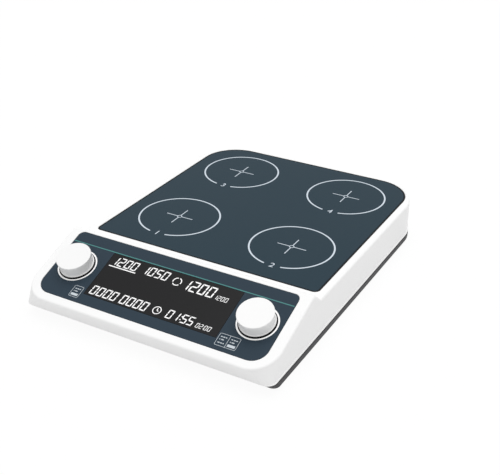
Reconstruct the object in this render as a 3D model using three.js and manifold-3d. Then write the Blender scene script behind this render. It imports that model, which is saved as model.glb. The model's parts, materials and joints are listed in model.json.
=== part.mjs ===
// A four-position magnetic stirrer: a flat white housing on a dark tray, a dark work plate over four
// motors that turn magnet carriers, and a raised sloping console with a display and two push knobs.
// Millimetres, +Z up, origin on the table under the middle of the body. The operator stands at -Y.
import * as THREE from "three";
import { mergeVertices } from "three/addons/utils/BufferGeometryUtils.js";
import Module from "manifold-3d";

const wasm = await Module();
wasm.setup();

// Clearances
const seat = 0.3; // between pieces that rest on, or fit into, each other
const cutOver = 4; // how far a cut runs past the face that it opens
const leastCorner = 1; // plan radius left where a cut's own corner would be smaller

// Housing: plan and heights
const bodyWidth = 253;
const footRise = 3.5; // rubber feet under the tray
const trayHeight = 7.05;
const deckRise = 33.15; // from the housing's lower edge to the deck
const housingWall = 3;
const edgeRound = 2; // round of the housing's upper edges
const innerRound = 1; // and on the inside of the same edges
const backCorner = 51; // plan radius of the two back corners
const rimCorner = 24.5; // plan radius of the front corners at the console's rim
const footCorner = 9; // and at the housing's lower edge
const footLip = 1.2; // how far a small lip stands out at the housing's lower edge, but for its front
const footLipHeight = 0.8;
const ledgeDepth = 2.4; // thickness of the shelf that carries the plate
const ledgeWidth = 6; // how far the shelf reaches in under the plate

// Work plate and its four stirring positions
const sideRim = 10; // deck left beside the plate
const plateDepth = 237.9;
const plateThickness = 3;
const plateBackCorner = 37;
const plateFrontCorner = 4;
const backRim = 5.9; // deck left behind the plate
const frontRim = 9.4; // deck left before the plate
const positionSideInset = 54.4; // from the plate's edges to the nearest positions
const positionFrontInset = 60.14;
const positionBackInset = 54.16;
const gasketWall = 1;
const gasketSole = 0.8;
const gasketReach = 5; // how far the seal lies in under the plate

// Console: a ramp rises from the deck to a ridge, and the panel falls from the ridge to the front
const rampLength = 11.8;
const ridgeRise = 11.1;
const ridgeBlend = 4; // length of the soft turn at the ridge, to each side
const rampFootBlend = 3;
const panelTiltDegrees = 20.17;
const panelLength = 88; // along the slope, from the ridge to the front face

// Things on the panel: v runs down the slope from the ridge, h stands square to it
const overlaySide = 11.85; // housing left beside the overlay
const overlayTopV = 4.9;
const overlayHeight = 74.05;
const overlayFrontCorner = 14;
const overlayBackCorner = 5.6;
const overlayThickness = 1;
const windowSideInset = 47.15; // from the overlay's sides
const windowTopV = 18.3;
const windowHeight = 50.1;
const windowRest = 4; // housing left under the window's edge
const knobSideInset = 21.85; // from the overlay's sides
const knobV = 42.4;

// Knob
const knobRadius = 16;
const knobTaper = 0.8; // how much narrower the foot of the knob is
const knobTopH = 12.5;
const knobFootH = 1.2;
const knobRound = 0.6;
const knobSkin = 2;
const knobLip = 0.7; // height of the small lip round the foot
const knobLipOut = 0.7;
const stemRadius = 5.2;
const stemFootH = 2.4;

// Encoder behind each knob
const encoderWidth = 14;
const encoderHeight = 13;
const encoderTopH = -3.1;
const encoderDepth = 5.8;
const encoderRoof = 1.2;
const encoderFloor = 0.8;
const bushingRadius = 3.6;
const bushingTopH = -0.5;
const shaftRadius = 3;
const shaftTopH = 9.4;
const flangeRadius = 3.9;
const flangeThickness = 1;
const plungerRadius = 3.4;
const plungerThickness = 1.2;
const plungerHole = 1; // ring-shaped plunger, radius of its hole

// Display module and control board
const moduleMargin = 1; // the module is this much larger than the window, each side
const moduleDepth = 5.7;
const moduleTopH = -3.2;
const moduleFrame = 3; // width of the frame round the glass
const moduleStep = 0.5; // glass lies this much below the frame
const boardThickness = 1.6;
const controlBoardSideInset = 11.65; // from the overlay's sides
const controlBoardTopV = 17;
const controlBoardHeight = 54;
const boardPinInset = 5;
const boardPostRadius = 3;
const boardPinRadius = 1.2;
const boardPinOut = 1.2;

// Tray
const trayFloor = 2.5;
const trayWall = 3;
const trayFrontInset = 1; // how far the tray's front stands back under the housing's
const trayUnderCut = 7.4; // how far the tray's front slopes back to its lower edge
const trayFootCorner = 6; // plan radius of the front corners at the lower edge
const tongueRise = 3; // the tray's inner rib stands this far into the housing
const tongueWall = 2;
const footInsetX = 26.5; // feet, from the body's sides
const footBackInset = 64;
const footFrontInset = 49;
const footRadius = 10;
const footSpigotRadius = 3;
const footSpigotRise = 3;
const footEdge = 0.6;

// Screws that hold the housing to the tray
const housingScrewSideInset = 14.5; // from the body's sides, in front
const housingScrewBackSideInset = 22.5; // and behind
const housingScrewFrontInset = 19.5; // from the body's front
const housingScrewBackInset = 22.5;
const bossRadius = 4.5;
const trayBossRadius = 6.2;
const trayBossRise = 4.8;
const housingScrewRadius = 1.5;
const housingScrewLength = 13;
const housingScrewHeadRadius = 3.2;
const housingScrewHeadHeight = 1.8;
const screwRecess = 0.7; // the head lies this deep in the tray's underside

// Motor bridge and its screws
const bridgeSideInset = 26.5; // from the body's sides
const bridgeMarginY = 40; // past the motors' centres, front and back
const bridgeThickness = 2;
const bridgeCorner = 8;
const bridgeUnderside = 24;
const bridgePostInset = 9;
const bridgePostRadius = 5;
const bridgeScrewRadius = 1.5;
const bridgeScrewLength = 12;
const bridgeScrewHeadRadius = 3;
const bridgeScrewHeadHeight = 1.8;
const bridgeSlotWidth = 28; // openings between the motors that lighten the bridge
const bridgeSlotLength = 92;
const bridgeSlotCorner = 6;

// Motors
const motorRadius = 18;
const motorHeight = 15;
const motorEdge = 1;
const motorBushingRadius = 5;
const motorBushingRise = 2; // above the motor's face
const motorShaftRadius = 1.5;
const motorShaftDepth = 12;
const motorScrewSpacing = 25;
const motorScrewRadius = 1.2;
const motorScrewLength = 5;
const motorScrewHeadRadius = 2.3;
const motorScrewHeadHeight = 1.4;

// Magnet carriers
const carrierRadius = 27;
const carrierHeight = 9.6;
const carrierEdge = 1;
const carrierHubRadius = 6;
const carrierHubHeight = 1.6;
const carrierAir = 1.7; // between the carrier and the plate
const magnetRadius = 7.6;
const magnetHeight = 7.4;
const magnetSpacing = 34;

// Driver board and power inlet
const driverMotorGap = 9.1; // between the board and the motors beside it
const driverDepth = 96;
const driverBackInset = 8; // from the housing's back
const driverUnderside = 9;
const chipShares = [
  [-0.28, -0.3, 0.2, 0.14],
  [0.26, -0.32, 0.26, 0.1],
  [-0.26, 0.12, 0.16, 0.2],
  [0.28, 0.16, 0.2, 0.16],
  [0, -0.06, 0.16, 0.12],
]; // middle x, middle y, width and depth, as shares of the board
const chipRise = 2.4;
const jackWidth = 9;
const jackHeight = 11;
const jackLength = 13.5;
const jackNoseRadius = 4.2;
const jackBoreRadius = 3.2;
const jackBoreDepth = 10;
const jackPinRadius = 1.05;
const jackPinLength = 8.5;

// Number of flat faces on round pieces
const finely = 36;
const round = 20;
const small = 10;
const cornerSteps = 6;
const edgeSteps = 3;
const blendSteps = 4;

// Places worked out from the sizes above
const tilt = THREE.MathUtils.degToRad(panelTiltDegrees);
const slopeRun = Math.cos(tilt);
const slopeFall = Math.sin(tilt);
const frontReach = panelLength * slopeRun - edgeRound * (slopeRun + slopeFall - 1);
const bodyLength = backRim + plateDepth + frontRim + rampLength + frontReach;
const backY = bodyLength / 2;
const plateBackY = backY - backRim;
const plateFrontY = plateBackY - plateDepth;
const rampFootY = plateFrontY - frontRim;
const ridgeY = rampFootY - rampLength;
const trayTop = footRise + trayHeight - seat;
const housingFoot = footRise + trayHeight;
const deckZ = housingFoot + deckRise;
const ridgeZ = deckZ + ridgeRise;
const halfWidth = bodyWidth / 2;
const trayFloorTop = footRise + trayFloor;
const plateWidth = bodyWidth - 2 * sideRim;
const overlayWidth = bodyWidth - 2 * overlaySide;
const windowWidth = overlayWidth - 2 * windowSideInset;
const controlBoardWidth = overlayWidth - 2 * controlBoardSideInset;
const bridgeWidth = bodyWidth - 2 * bridgeSideInset;
const positionSpacingX = plateWidth - 2 * positionSideInset;
const driverWidth = positionSpacingX - 2 * (motorRadius + driverMotorGap);
const panelMiddleY = ridgeY - (panelLength * slopeRun) / 2;
const panelEndY = ridgeY - panelLength * slopeRun;
const housingFootFront = panelEndY + (panelZ(panelEndY) - housingFoot) * (slopeFall / slopeRun);

// Materials
function material(name, color, roughness, metalness) {
  return new THREE.MeshStandardMaterial({ name, color, roughness, metalness });
}
const whitePlastic = material("white_plastic", 0xf2f2f1, 0.45, 0);
const knobPlastic = material("knob_plastic", 0xf4f4f4, 0.4, 0);
const trayPlastic = material("tray_plastic", 0x4e5054, 0.6, 0);
const platePlastic = material("plate_plastic", 0x3c4a54, 0.5, 0);
const sealRubber = material("seal_rubber", 0x1e2022, 0.8, 0);
const overlayFilm = material("overlay_film", 0x3a4853, 0.4, 0);
const smokedWindow = material("smoked_window", 0x2c2c2e, 0.2, 0);
const footRubber = material("foot_rubber", 0x232323, 0.9, 0);
const boardGreen = material("board_green", 0x1f5a3a, 0.6, 0);
const displayBlack = material("display_black", 0x1c1c1e, 0.4, 0);
const bridgeAluminium = material("bridge_aluminium", 0xb8bcc0, 0.4, 0.9);
const motorSteel = material("motor_steel", 0x8d9196, 0.35, 0.9);
const carrierPlastic = material("carrier_plastic", 0x2b2d30, 0.6, 0);
const magnetNickel = material("magnet_nickel", 0xc4c8cc, 0.25, 1);
const screwSteel = material("screw_steel", 0xa8adb2, 0.35, 1);
const blackPlastic = material("black_plastic", 0x19191b, 0.6, 0);

// Closed solids: a three.js geometry becomes a manifold solid, and the other way round
function solid(geometry) {
  const bare = geometry.clone();
  bare.deleteAttribute("normal");
  bare.deleteAttribute("uv");
  const merged = mergeVertices(bare);
  const vertProperties = new Float32Array(merged.attributes.position.array);
  const triVerts = new Uint32Array(merged.index.array);
  return new wasm.Manifold(new wasm.Mesh({ numProp: 3, vertProperties, triVerts }));
}

function geometryOf(manifold) {
  const mesh = manifold.getMesh();
  const geometry = new THREE.BufferGeometry();
  geometry.setAttribute("position", new THREE.BufferAttribute(new Float32Array(mesh.vertProperties), 3));
  geometry.setIndex(new THREE.BufferAttribute(new Uint32Array(mesh.triVerts), 1));
  return geometry;
}

function union(solids) {
  return solids.reduce((whole, next) => whole.add(next));
}

// Basic forms, all standing on z = low and ending at z = high
function block(x0, x1, y0, y1, low, high) {
  const geometry = new THREE.BoxGeometry(x1 - x0, y1 - y0, high - low);
  geometry.translate((x0 + x1) / 2, (y0 + y1) / 2, (low + high) / 2);
  return geometry;
}

function rod(x, y, radius, low, high, faces = small) {
  const geometry = new THREE.CylinderGeometry(radius, radius, high - low, faces);
  geometry.rotateX(Math.PI / 2);
  geometry.translate(x, y, (low + high) / 2);
  return geometry;
}

function rodAlongY(x, z, radius, front, back, faces = small) {
  const geometry = new THREE.CylinderGeometry(radius, radius, back - front, faces);
  geometry.translate(x, (front + back) / 2, z);
  return geometry;
}

// Turned form round a vertical axis, from [radius, height] pairs that start and end on the axis
function turned(profile, faces) {
  const geometry = new THREE.LatheGeometry(profile.map(([r, z]) => new THREE.Vector2(r, z)), faces);
  geometry.rotateX(Math.PI / 2);
  return geometry;
}

// Upright slab with four rounded corners, the front pair and the back pair each with its own radius
function roundedSlab(x0, x1, y0, y1, frontRadius, backRadius, low, high, grow = 0) {
  const left = x0 - grow;
  const right = x1 + grow;
  const front = y0 - grow;
  const back = y1 + grow;
  const rf = Math.max(frontRadius + grow, leastCorner);
  const rb = Math.max(backRadius + grow, leastCorner);
  const shape = new THREE.Shape();
  shape.moveTo(left + rf, front);
  shape.lineTo(right - rf, front);
  shape.absarc(right - rf, front + rf, rf, -Math.PI / 2, 0);
  shape.lineTo(right, back - rb);
  shape.absarc(right - rb, back - rb, rb, 0, Math.PI / 2);
  shape.lineTo(left + rb, back);
  shape.absarc(left + rb, back - rb, rb, Math.PI / 2, Math.PI);
  shape.lineTo(left, front + rf);
  shape.absarc(left + rf, front + rf, rf, Math.PI, (3 * Math.PI) / 2);
  const geometry = new THREE.ExtrudeGeometry(shape, {
    depth: high - low,
    bevelEnabled: false,
    curveSegments: cornerSteps,
  });
  geometry.translate(0, 0, low);
  return geometry;
}

// Right half of a plan outline, from the front to the back: front corner, stations, back corner
function halfOutline(plan, stations) {
  const points = [];
  const frontCentre = [plan.half - plan.frontCorner, plan.front + plan.frontCorner];
  const backCentre = [plan.half - plan.backCorner, plan.back - plan.backCorner];
  for (let i = 0; i <= cornerSteps; i += 1) {
    const angle = (i / cornerSteps) * (Math.PI / 2) - Math.PI / 2;
    const r = plan.frontCorner - plan.inset;
    points.push([frontCentre[0] + r * Math.cos(angle), frontCentre[1] + r * Math.sin(angle)]);
  }
  for (const y of stations) {
    points.push([plan.half - plan.inset, y]);
  }
  for (let i = 0; i <= cornerSteps; i += 1) {
    const angle = (i / cornerSteps) * (Math.PI / 2);
    const r = plan.backCorner - plan.inset;
    points.push([backCentre[0] + r * Math.cos(angle), backCentre[1] + r * Math.sin(angle)]);
  }
  return points;
}

// Skin between rings of [x, y, z] half outlines, mirrored at x = 0, closed across the first and the last
function mirroredLoft(rings) {
  const count = rings[0].length;
  const positions = [];
  for (const ring of rings) {
    for (const side of [1, -1]) {
      for (const [x, y, z] of ring) {
        positions.push(side * x, y, z);
      }
    }
  }
  const at = (ring, side, i) => (ring * 2 + side) * count + i;
  const faces = [];
  const quad = (a, b, c, d) => faces.push(a, b, c, a, c, d);
  const last = rings.length - 1;
  for (let k = 0; k < last; k += 1) {
    for (let i = 0; i + 1 < count; i += 1) {
      quad(at(k, 0, i), at(k + 1, 0, i), at(k + 1, 0, i + 1), at(k, 0, i + 1));
      quad(at(k, 1, i), at(k, 1, i + 1), at(k + 1, 1, i + 1), at(k + 1, 1, i));
    }
    quad(at(k, 1, 0), at(k + 1, 1, 0), at(k + 1, 0, 0), at(k, 0, 0));
    quad(at(k, 0, count - 1), at(k + 1, 0, count - 1), at(k + 1, 1, count - 1), at(k, 1, count - 1));
  }
  for (let i = 0; i + 1 < count; i += 1) {
    quad(at(0, 1, i), at(0, 0, i), at(0, 0, i + 1), at(0, 1, i + 1));
    quad(at(last, 0, i), at(last, 1, i), at(last, 1, i + 1), at(last, 0, i + 1));
  }
  const geometry = new THREE.BufferGeometry();
  geometry.setAttribute("position", new THREE.Float32BufferAttribute(positions, 3));
  geometry.setIndex(faces);
  return geometry;
}

// Height of the housing's top along its length: panel, soft ridge, ramp, soft foot, deck
function blend(t, start, turn, end) {
  return start * (1 - t) * (1 - t) + 2 * turn * t * (1 - t) + end * t * t;
}

function panelZ(y) {
  return ridgeZ + (y - ridgeY) * (slopeFall / slopeRun);
}

function rampZ(y) {
  return deckZ + ((rampFootY - y) / rampLength) * ridgeRise;
}

function topZ(y) {
  const ridgeStart = ridgeY - ridgeBlend;
  const ridgeEnd = ridgeY + ridgeBlend;
  const footStart = rampFootY - rampFootBlend;
  const footEnd = rampFootY + rampFootBlend;
  if (y <= ridgeStart) {
    return panelZ(y);
  }
  if (y < ridgeEnd) {
    return blend((y - ridgeStart) / (2 * ridgeBlend), panelZ(ridgeStart), ridgeZ, rampZ(ridgeEnd));
  }
  if (y <= footStart) {
    return rampZ(y);
  }
  if (y < footEnd) {
    return blend((y - footStart) / (2 * rampFootBlend), rampZ(footStart), deckZ, deckZ);
  }
  return deckZ;
}

function topStations() {
  const stations = [panelMiddleY];
  for (let i = 0; i <= blendSteps; i += 1) {
    stations.push(ridgeY - ridgeBlend + (2 * ridgeBlend * i) / blendSteps);
  }
  for (let i = 0; i <= blendSteps; i += 1) {
    stations.push(rampFootY - rampFootBlend + (2 * rampFootBlend * i) / blendSteps);
  }
  return stations;
}

// Outer form of the housing with the lip round its foot, or, when it is shrunk by a wall and ends lower,
// the form of its hollow, which goes straight down
function housingForm(shrink, bottom) {
  const stations = topStations();
  const lengthLeft = panelLength - shrink;
  const edgeY = ridgeY - lengthLeft * slopeRun;
  const edgeZ = panelZ(edgeY) - shrink;
  const frontAt = (z) => edgeY + (edgeZ - z) * (slopeFall / slopeRun);
  const roundLeft = Math.max(edgeRound - shrink, innerRound);
  const rings = [];
  const planAt = (out, z) => ({
    half: halfWidth - footLip - shrink + out,
    front: frontAt(z),
    back: backY - footLip - shrink + out,
    frontCorner: footCorner - footLip - shrink + out,
    backCorner: backCorner - footLip - shrink + out,
    inset: 0,
  });
  const level = (out, z, height) => {
    rings.push(halfOutline(planAt(out, z), stations).map(([x, y]) => [x, y, height]));
  };
  const rimPlan = { ...planAt(0, edgeZ), frontCorner: rimCorner - shrink };
  const lean = (y) => tilt * THREE.MathUtils.clamp((ridgeY - y) / (panelLength / 2), 0, 1);
  for (let k = 0; k <= edgeSteps; k += 1) {
    const angle = (k / edgeSteps) * (Math.PI / 2);
    const inset = roundLeft * (1 - Math.sin(angle));
    const drop = roundLeft * (1 - Math.cos(angle));
    rings.push(
      halfOutline({ ...rimPlan, inset }, stations).map(([x, y]) => [
        x,
        y + drop * Math.sin(lean(y)),
        topZ(y) - shrink - drop * Math.cos(lean(y)),
      ]),
    );
  }
  if (bottom < housingFoot) {
    level(0, housingFoot, housingFoot);
    level(0, housingFoot, bottom);
  } else {
    const lipTop = housingFoot + footLipHeight;
    level(0, lipTop, lipTop);
    level(footLip, lipTop, lipTop);
    level(footLip, housingFoot, housingFoot);
  }
  return mirroredLoft(rings);
}

// Frame of the sloping panel: local y = -v, local z = h
const panelGroup = new THREE.Group();
panelGroup.position.set(0, ridgeY, ridgeZ);
panelGroup.rotation.x = tilt;
panelGroup.updateMatrixWorld(true);

function fromPanel(geometry) {
  return geometry.applyMatrix4(panelGroup.matrixWorld);
}

function mirroredPlaces(x, y) {
  return [
    [-x, y],
    [x, y],
  ];
}

const parts = new THREE.Group();
parts.add(panelGroup);

function piece(name, geometry, look, parent = parts) {
  const mesh = new THREE.Mesh(geometry, look);
  mesh.name = name;
  parent.add(mesh);
  return mesh;
}

// Stirring positions, numbered as on the plate: 1 and 2 in front, 3 and 4 behind
const positionFrontY = plateFrontY + positionFrontInset;
const positionBackY = plateBackY - positionBackInset;
const positionsMiddleY = (positionFrontY + positionBackY) / 2;
const stirPlaces = [positionFrontY, positionBackY].flatMap((y) =>
  mirroredPlaces(positionSpacingX / 2, y),
);

// Motor bridge: its posts in the corners, and two screws for each motor
const bridgeFrontY = positionFrontY - bridgeMarginY;
const bridgeBackY = positionBackY + bridgeMarginY;
const bridgePostX = bridgeWidth / 2 - bridgePostInset;
const bridgePostPlaces = [
  ...mirroredPlaces(bridgePostX, bridgeFrontY + bridgePostInset),
  ...mirroredPlaces(bridgePostX, bridgeBackY - bridgePostInset),
];
const bridgeTop = bridgeUnderside + bridgeThickness;
const motorScrewPlaces = stirPlaces.flatMap(([x, y]) => [
  [x - motorScrewSpacing / 2, y],
  [x + motorScrewSpacing / 2, y],
]);

// Feet under the tray
const footPlaces = [
  ...mirroredPlaces(halfWidth - footInsetX, -backY + footFrontInset),
  ...mirroredPlaces(halfWidth - footInsetX, backY - footBackInset),
];

// Screws that join the housing and the tray, from below
const housingScrewPlaces = [
  ...mirroredPlaces(halfWidth - housingScrewSideInset, -backY + housingScrewFrontInset),
  ...mirroredPlaces(halfWidth - housingScrewBackSideInset, backY - housingScrewBackInset),
];
const trayBossTop = trayFloorTop + trayBossRise;
const housingBossFoot = trayBossTop + seat;
const housingScrewSeat = footRise + screwRecess + housingScrewHeadHeight + seat;
const housingScrewTop = housingScrewSeat + housingScrewLength;

// Heights of the plate's seat, from the top down
const plateUnderside = deckZ - plateThickness;
const gasketFoot = plateUnderside - seat - gasketSole;
const ledgeTop = gasketFoot - seat;
const recessGrow = seat + gasketWall + seat;

// Power inlet, on the driver board's back edge
const driverTop = driverUnderside + boardThickness;
const jackZ = driverTop + seat + jackHeight / 2;
const jackHoleRadius = jackNoseRadius + seat;
const driverBackY = backY - driverBackInset;
const driverFrontY = driverBackY - driverDepth;
const driverPinPlaces = [
  ...mirroredPlaces(driverWidth / 2 - boardPinInset, driverFrontY + boardPinInset),
  ...mirroredPlaces(driverWidth / 2 - boardPinInset, driverBackY - boardPinInset),
];

// Where the encoders and the control board's posts stand, in the panel's frame
const knobPlaces = mirroredPlaces(overlayWidth / 2 - knobSideInset, -knobV);
const boardBackV = controlBoardTopV + boardPinInset;
const boardFrontV = controlBoardTopV + controlBoardHeight - boardPinInset;
const boardPostX = controlBoardWidth / 2 - boardPinInset;
const controlPostPlaces = [
  ...mirroredPlaces(boardPostX, -boardBackV),
  ...mirroredPlaces(boardPostX, -boardFrontV),
];
const controlBoardTop = moduleTopH - moduleDepth - seat;
const controlBoardFoot = controlBoardTop - boardThickness;

// Heights inside an encoder, from its roof down
const roofH = encoderTopH - encoderRoof;
const flangeTopH = roofH - seat;
const flangeFootH = flangeTopH - flangeThickness;
const plungerTopH = flangeFootH - seat;
const plungerFootH = plungerTopH - plungerThickness;
const chamberFootH = encoderTopH - encoderDepth + encoderFloor;

function plateSlab(low, high, grow) {
  return roundedSlab(
    -plateWidth / 2,
    plateWidth / 2,
    plateFrontY,
    plateBackY,
    plateFrontCorner,
    plateBackCorner,
    low,
    high,
    grow,
  );
}

function overlaySlab(low, high, grow) {
  return roundedSlab(
    -overlayWidth / 2,
    overlayWidth / 2,
    -overlayTopV - overlayHeight,
    -overlayTopV,
    overlayFrontCorner,
    overlayBackCorner,
    low,
    high,
    grow,
  );
}

function windowBlock(low, high, grow) {
  return block(
    -windowWidth / 2 - grow,
    windowWidth / 2 + grow,
    -windowTopV - windowHeight - grow,
    -windowTopV + grow,
    low,
    high,
  );
}

// White housing: one moulded skin with a shelf for the plate, the panel's recess and four screw bosses
function topHousing() {
  const outer = solid(housingForm(0, housingFoot));
  const hollow = solid(housingForm(housingWall, housingFoot - cutOver));
  const shelfFoot = ledgeTop - ledgeDepth;
  const shelfBand = solid(block(-bodyWidth, bodyWidth, rampFootY, bodyLength, shelfFoot, deckZ));
  const shelf = outer.intersect(shelfBand);
  const bosses = housingScrewPlaces.map(([x, y]) =>
    outer.intersect(solid(rod(x, y, bossRadius, housingBossFoot, ridgeZ))),
  );
  const postTop = -overlayThickness - housingWall / 2;
  const posts = controlPostPlaces.map(([x, y]) =>
    solid(fromPanel(rod(x, y, boardPostRadius, controlBoardTop + seat, postTop))),
  );
  const pins = controlPostPlaces.map(([x, y]) =>
    solid(fromPanel(rod(x, y, boardPinRadius, controlBoardFoot - boardPinOut, moduleTopH))),
  );
  const shell = union([outer.subtract(hollow), shelf, ...bosses, ...posts, ...pins]);
  const recessFloor = -overlayThickness - seat;
  const cuts = [
    solid(plateSlab(ledgeTop, deckZ + cutOver, recessGrow)),
    solid(plateSlab(shelfFoot - cutOver, deckZ, -ledgeWidth)),
    solid(fromPanel(overlaySlab(recessFloor, cutOver, seat))),
    solid(fromPanel(windowBlock(-housingWall - cutOver, cutOver, -windowRest))),
    solid(rodAlongY(0, jackZ, jackHoleRadius, backY - backCorner / 2, backY + cutOver, round)),
    ...knobPlaces.map(([x, y]) =>
      solid(fromPanel(rod(x, y, bushingRadius + seat, -housingWall - cutOver, cutOver, round))),
    ),
    ...housingScrewPlaces.map(([x, y]) =>
      solid(rod(x, y, housingScrewRadius + seat, housingBossFoot - cutOver, housingScrewTop + seat)),
    ),
  ];
  piece("top_housing", geometryOf(shell.subtract(union(cuts))), whitePlastic);
}

// Dark tray: sloping front face, floor, inner rib, bosses for the housing screws, posts for the boards
function trayForm(shrink, low, high) {
  const frontTop = housingFootFront + trayFrontInset + shrink;
  const frontFoot = frontTop + trayUnderCut;
  const common = {
    half: halfWidth - shrink,
    back: backY - shrink,
    backCorner: backCorner - shrink,
    inset: 0,
  };
  const levels = [
    { ...common, front: frontTop, frontCorner: footCorner - shrink, z: high },
    { ...common, front: frontFoot, frontCorner: trayFootCorner - shrink, z: low },
  ];
  return mirroredLoft(levels.map((plan) => halfOutline(plan, []).map(([x, y]) => [x, y, plan.z])));
}

function tongueForm(inset, low, high) {
  const plan = {
    half: halfWidth,
    front: housingFootFront,
    back: backY,
    frontCorner: footCorner,
    backCorner,
    inset,
  };
  return mirroredLoft([high, low].map((z) => halfOutline(plan, []).map(([x, y]) => [x, y, z])));
}

function baseTray() {
  const bowl = solid(trayForm(0, footRise, trayTop));
  const tongueOut = footLip + housingWall + seat;
  const bossHoles = housingScrewPlaces.map(([x, y]) =>
    solid(rod(x, y, bossRadius + seat, trayBossTop, housingFoot + tongueRise + cutOver)),
  );
  const tongue = solid(tongueForm(tongueOut, trayFloorTop, housingFoot + tongueRise))
    .intersect(solid(housingForm(housingWall + seat, footRise)))
    .subtract(union(bossHoles));
  const tongueIn = tongueOut + tongueWall;
  const lowHollow = solid(tongueForm(tongueIn, trayFloorTop, trayTop)).intersect(
    solid(trayForm(trayWall, footRise, trayTop)),
  );
  const highHollow = solid(tongueForm(tongueIn, trayTop - seat, housingFoot + tongueRise + cutOver));
  const bosses = housingScrewPlaces.map(([x, y]) =>
    solid(rod(x, y, trayBossRadius, trayFloorTop - trayFloor / 2, trayBossTop)),
  );
  const bridgePosts = bridgePostPlaces.map(([x, y]) =>
    solid(rod(x, y, bridgePostRadius, trayFloorTop - trayFloor / 2, bridgeUnderside - seat)),
  );
  const driverPosts = driverPinPlaces.map(([x, y]) =>
    solid(rod(x, y, boardPostRadius, trayFloorTop - trayFloor / 2, driverUnderside - seat)),
  );
  const driverPins = driverPinPlaces.map(([x, y]) =>
    solid(rod(x, y, boardPinRadius, trayFloorTop, driverTop + boardPinOut)),
  );
  const pan = union([bowl, tongue]).subtract(union([lowHollow, highHollow]));
  const body = union([pan, ...bosses, ...bridgePosts, ...driverPosts, ...driverPins]);
  const jackHalf = jackWidth / 2 + seat;
  const screwHole = housingScrewRadius + seat;
  const cuts = [
    solid(block(-jackHalf, jackHalf, driverBackY - jackLength, backY, driverTop, housingFoot + jackHeight)),
    ...housingScrewPlaces.flatMap(([x, y]) => [
      solid(rod(x, y, screwHole, footRise - cutOver, trayBossTop + cutOver)),
      solid(rod(x, y, housingScrewHeadRadius + seat, footRise - cutOver, housingScrewSeat)),
    ]),
    ...footPlaces.map(([x, y]) => solid(rod(x, y, footSpigotRadius + seat, 0, trayFloorTop + cutOver))),
    ...bridgePostPlaces.map(([x, y]) =>
      solid(rod(x, y, bridgeScrewRadius + seat, bridgeTop - bridgeScrewLength - seat, bridgeTop)),
    ),
  ];
  piece("base_tray", geometryOf(body.subtract(union(cuts))), trayPlastic);
}

// Rubber feet with a spigot in the tray's floor
function feet() {
  const profile = [
    [0, 0],
    [footRadius - footEdge, 0],
    [footRadius, footEdge],
    [footRadius, footRise - seat],
    [footSpigotRadius, footRise - seat],
    [footSpigotRadius, footRise + footSpigotRise],
    [0, footRise + footSpigotRise],
  ];
  const names = ["foot_front_left", "foot_front_right", "foot_back_left", "foot_back_right"];
  footPlaces.forEach(([x, y], i) => {
    piece(names[i], turned(profile, round), footRubber).position.set(x, y, 0);
  });
}

// A screw that stands with its head's seat at z = 0 and its shaft downwards
function screwProfile(radius, length, headRadius, headHeight) {
  return [
    [0, -length],
    [radius, -length],
    [radius, 0],
    [headRadius, 0],
    [headRadius, headHeight],
    [0, headHeight],
  ];
}

function housingScrews() {
  const profile = screwProfile(
    housingScrewRadius,
    housingScrewLength + seat,
    housingScrewHeadRadius,
    housingScrewHeadHeight,
  );
  housingScrewPlaces.forEach(([x, y], i) => {
    const screw = piece(`housing_screw_${i + 1}`, turned(profile, small), screwSteel);
    screw.rotation.x = Math.PI;
    screw.position.set(x, y, housingScrewSeat - seat);
  });
}

// Work plate and the seal that it lies in
function workPlate() {
  piece("work_plate", plateSlab(plateUnderside, deckZ, 0), platePlastic);
  const outside = solid(plateSlab(gasketFoot, deckZ, seat + gasketWall));
  const bed = solid(plateSlab(plateUnderside - seat, deckZ + cutOver, seat));
  const opening = solid(plateSlab(gasketFoot - cutOver, deckZ, -gasketReach));
  piece("plate_gasket", geometryOf(outside.subtract(bed).subtract(opening)), sealRubber);
}

// Sheet bridge that carries the four motors
function motorBridge() {
  const sheet = solid(
    roundedSlab(
      -bridgeWidth / 2,
      bridgeWidth / 2,
      bridgeFrontY,
      bridgeBackY,
      bridgeCorner,
      bridgeCorner,
      bridgeUnderside,
      bridgeTop,
    ),
  );
  const low = bridgeUnderside - cutOver;
  const high = bridgeTop + cutOver;
  const cuts = [
    solid(
      roundedSlab(
        -bridgeSlotWidth / 2,
        bridgeSlotWidth / 2,
        positionsMiddleY - bridgeSlotLength / 2,
        positionsMiddleY + bridgeSlotLength / 2,
        bridgeSlotCorner,
        bridgeSlotCorner,
        low,
        high,
      ),
    ),
    ...stirPlaces.map(([x, y]) => solid(rod(x, y, motorBushingRadius + seat, low, high, round))),
    ...motorScrewPlaces.map(([x, y]) => solid(rod(x, y, motorScrewRadius + seat, low, high))),
    ...bridgePostPlaces.map(([x, y]) => solid(rod(x, y, bridgeScrewRadius + seat, low, high))),
  ];
  piece("motor_bridge", geometryOf(sheet.subtract(union(cuts))), bridgeAluminium);
}

function bridgeScrews() {
  const profile = screwProfile(
    bridgeScrewRadius,
    bridgeScrewLength,
    bridgeScrewHeadRadius,
    bridgeScrewHeadHeight,
  );
  bridgePostPlaces.forEach(([x, y], i) => {
    const screw = piece(`bridge_screw_${i + 1}`, turned(profile, small), screwSteel);
    screw.position.set(x, y, bridgeTop + seat);
  });
}

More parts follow.
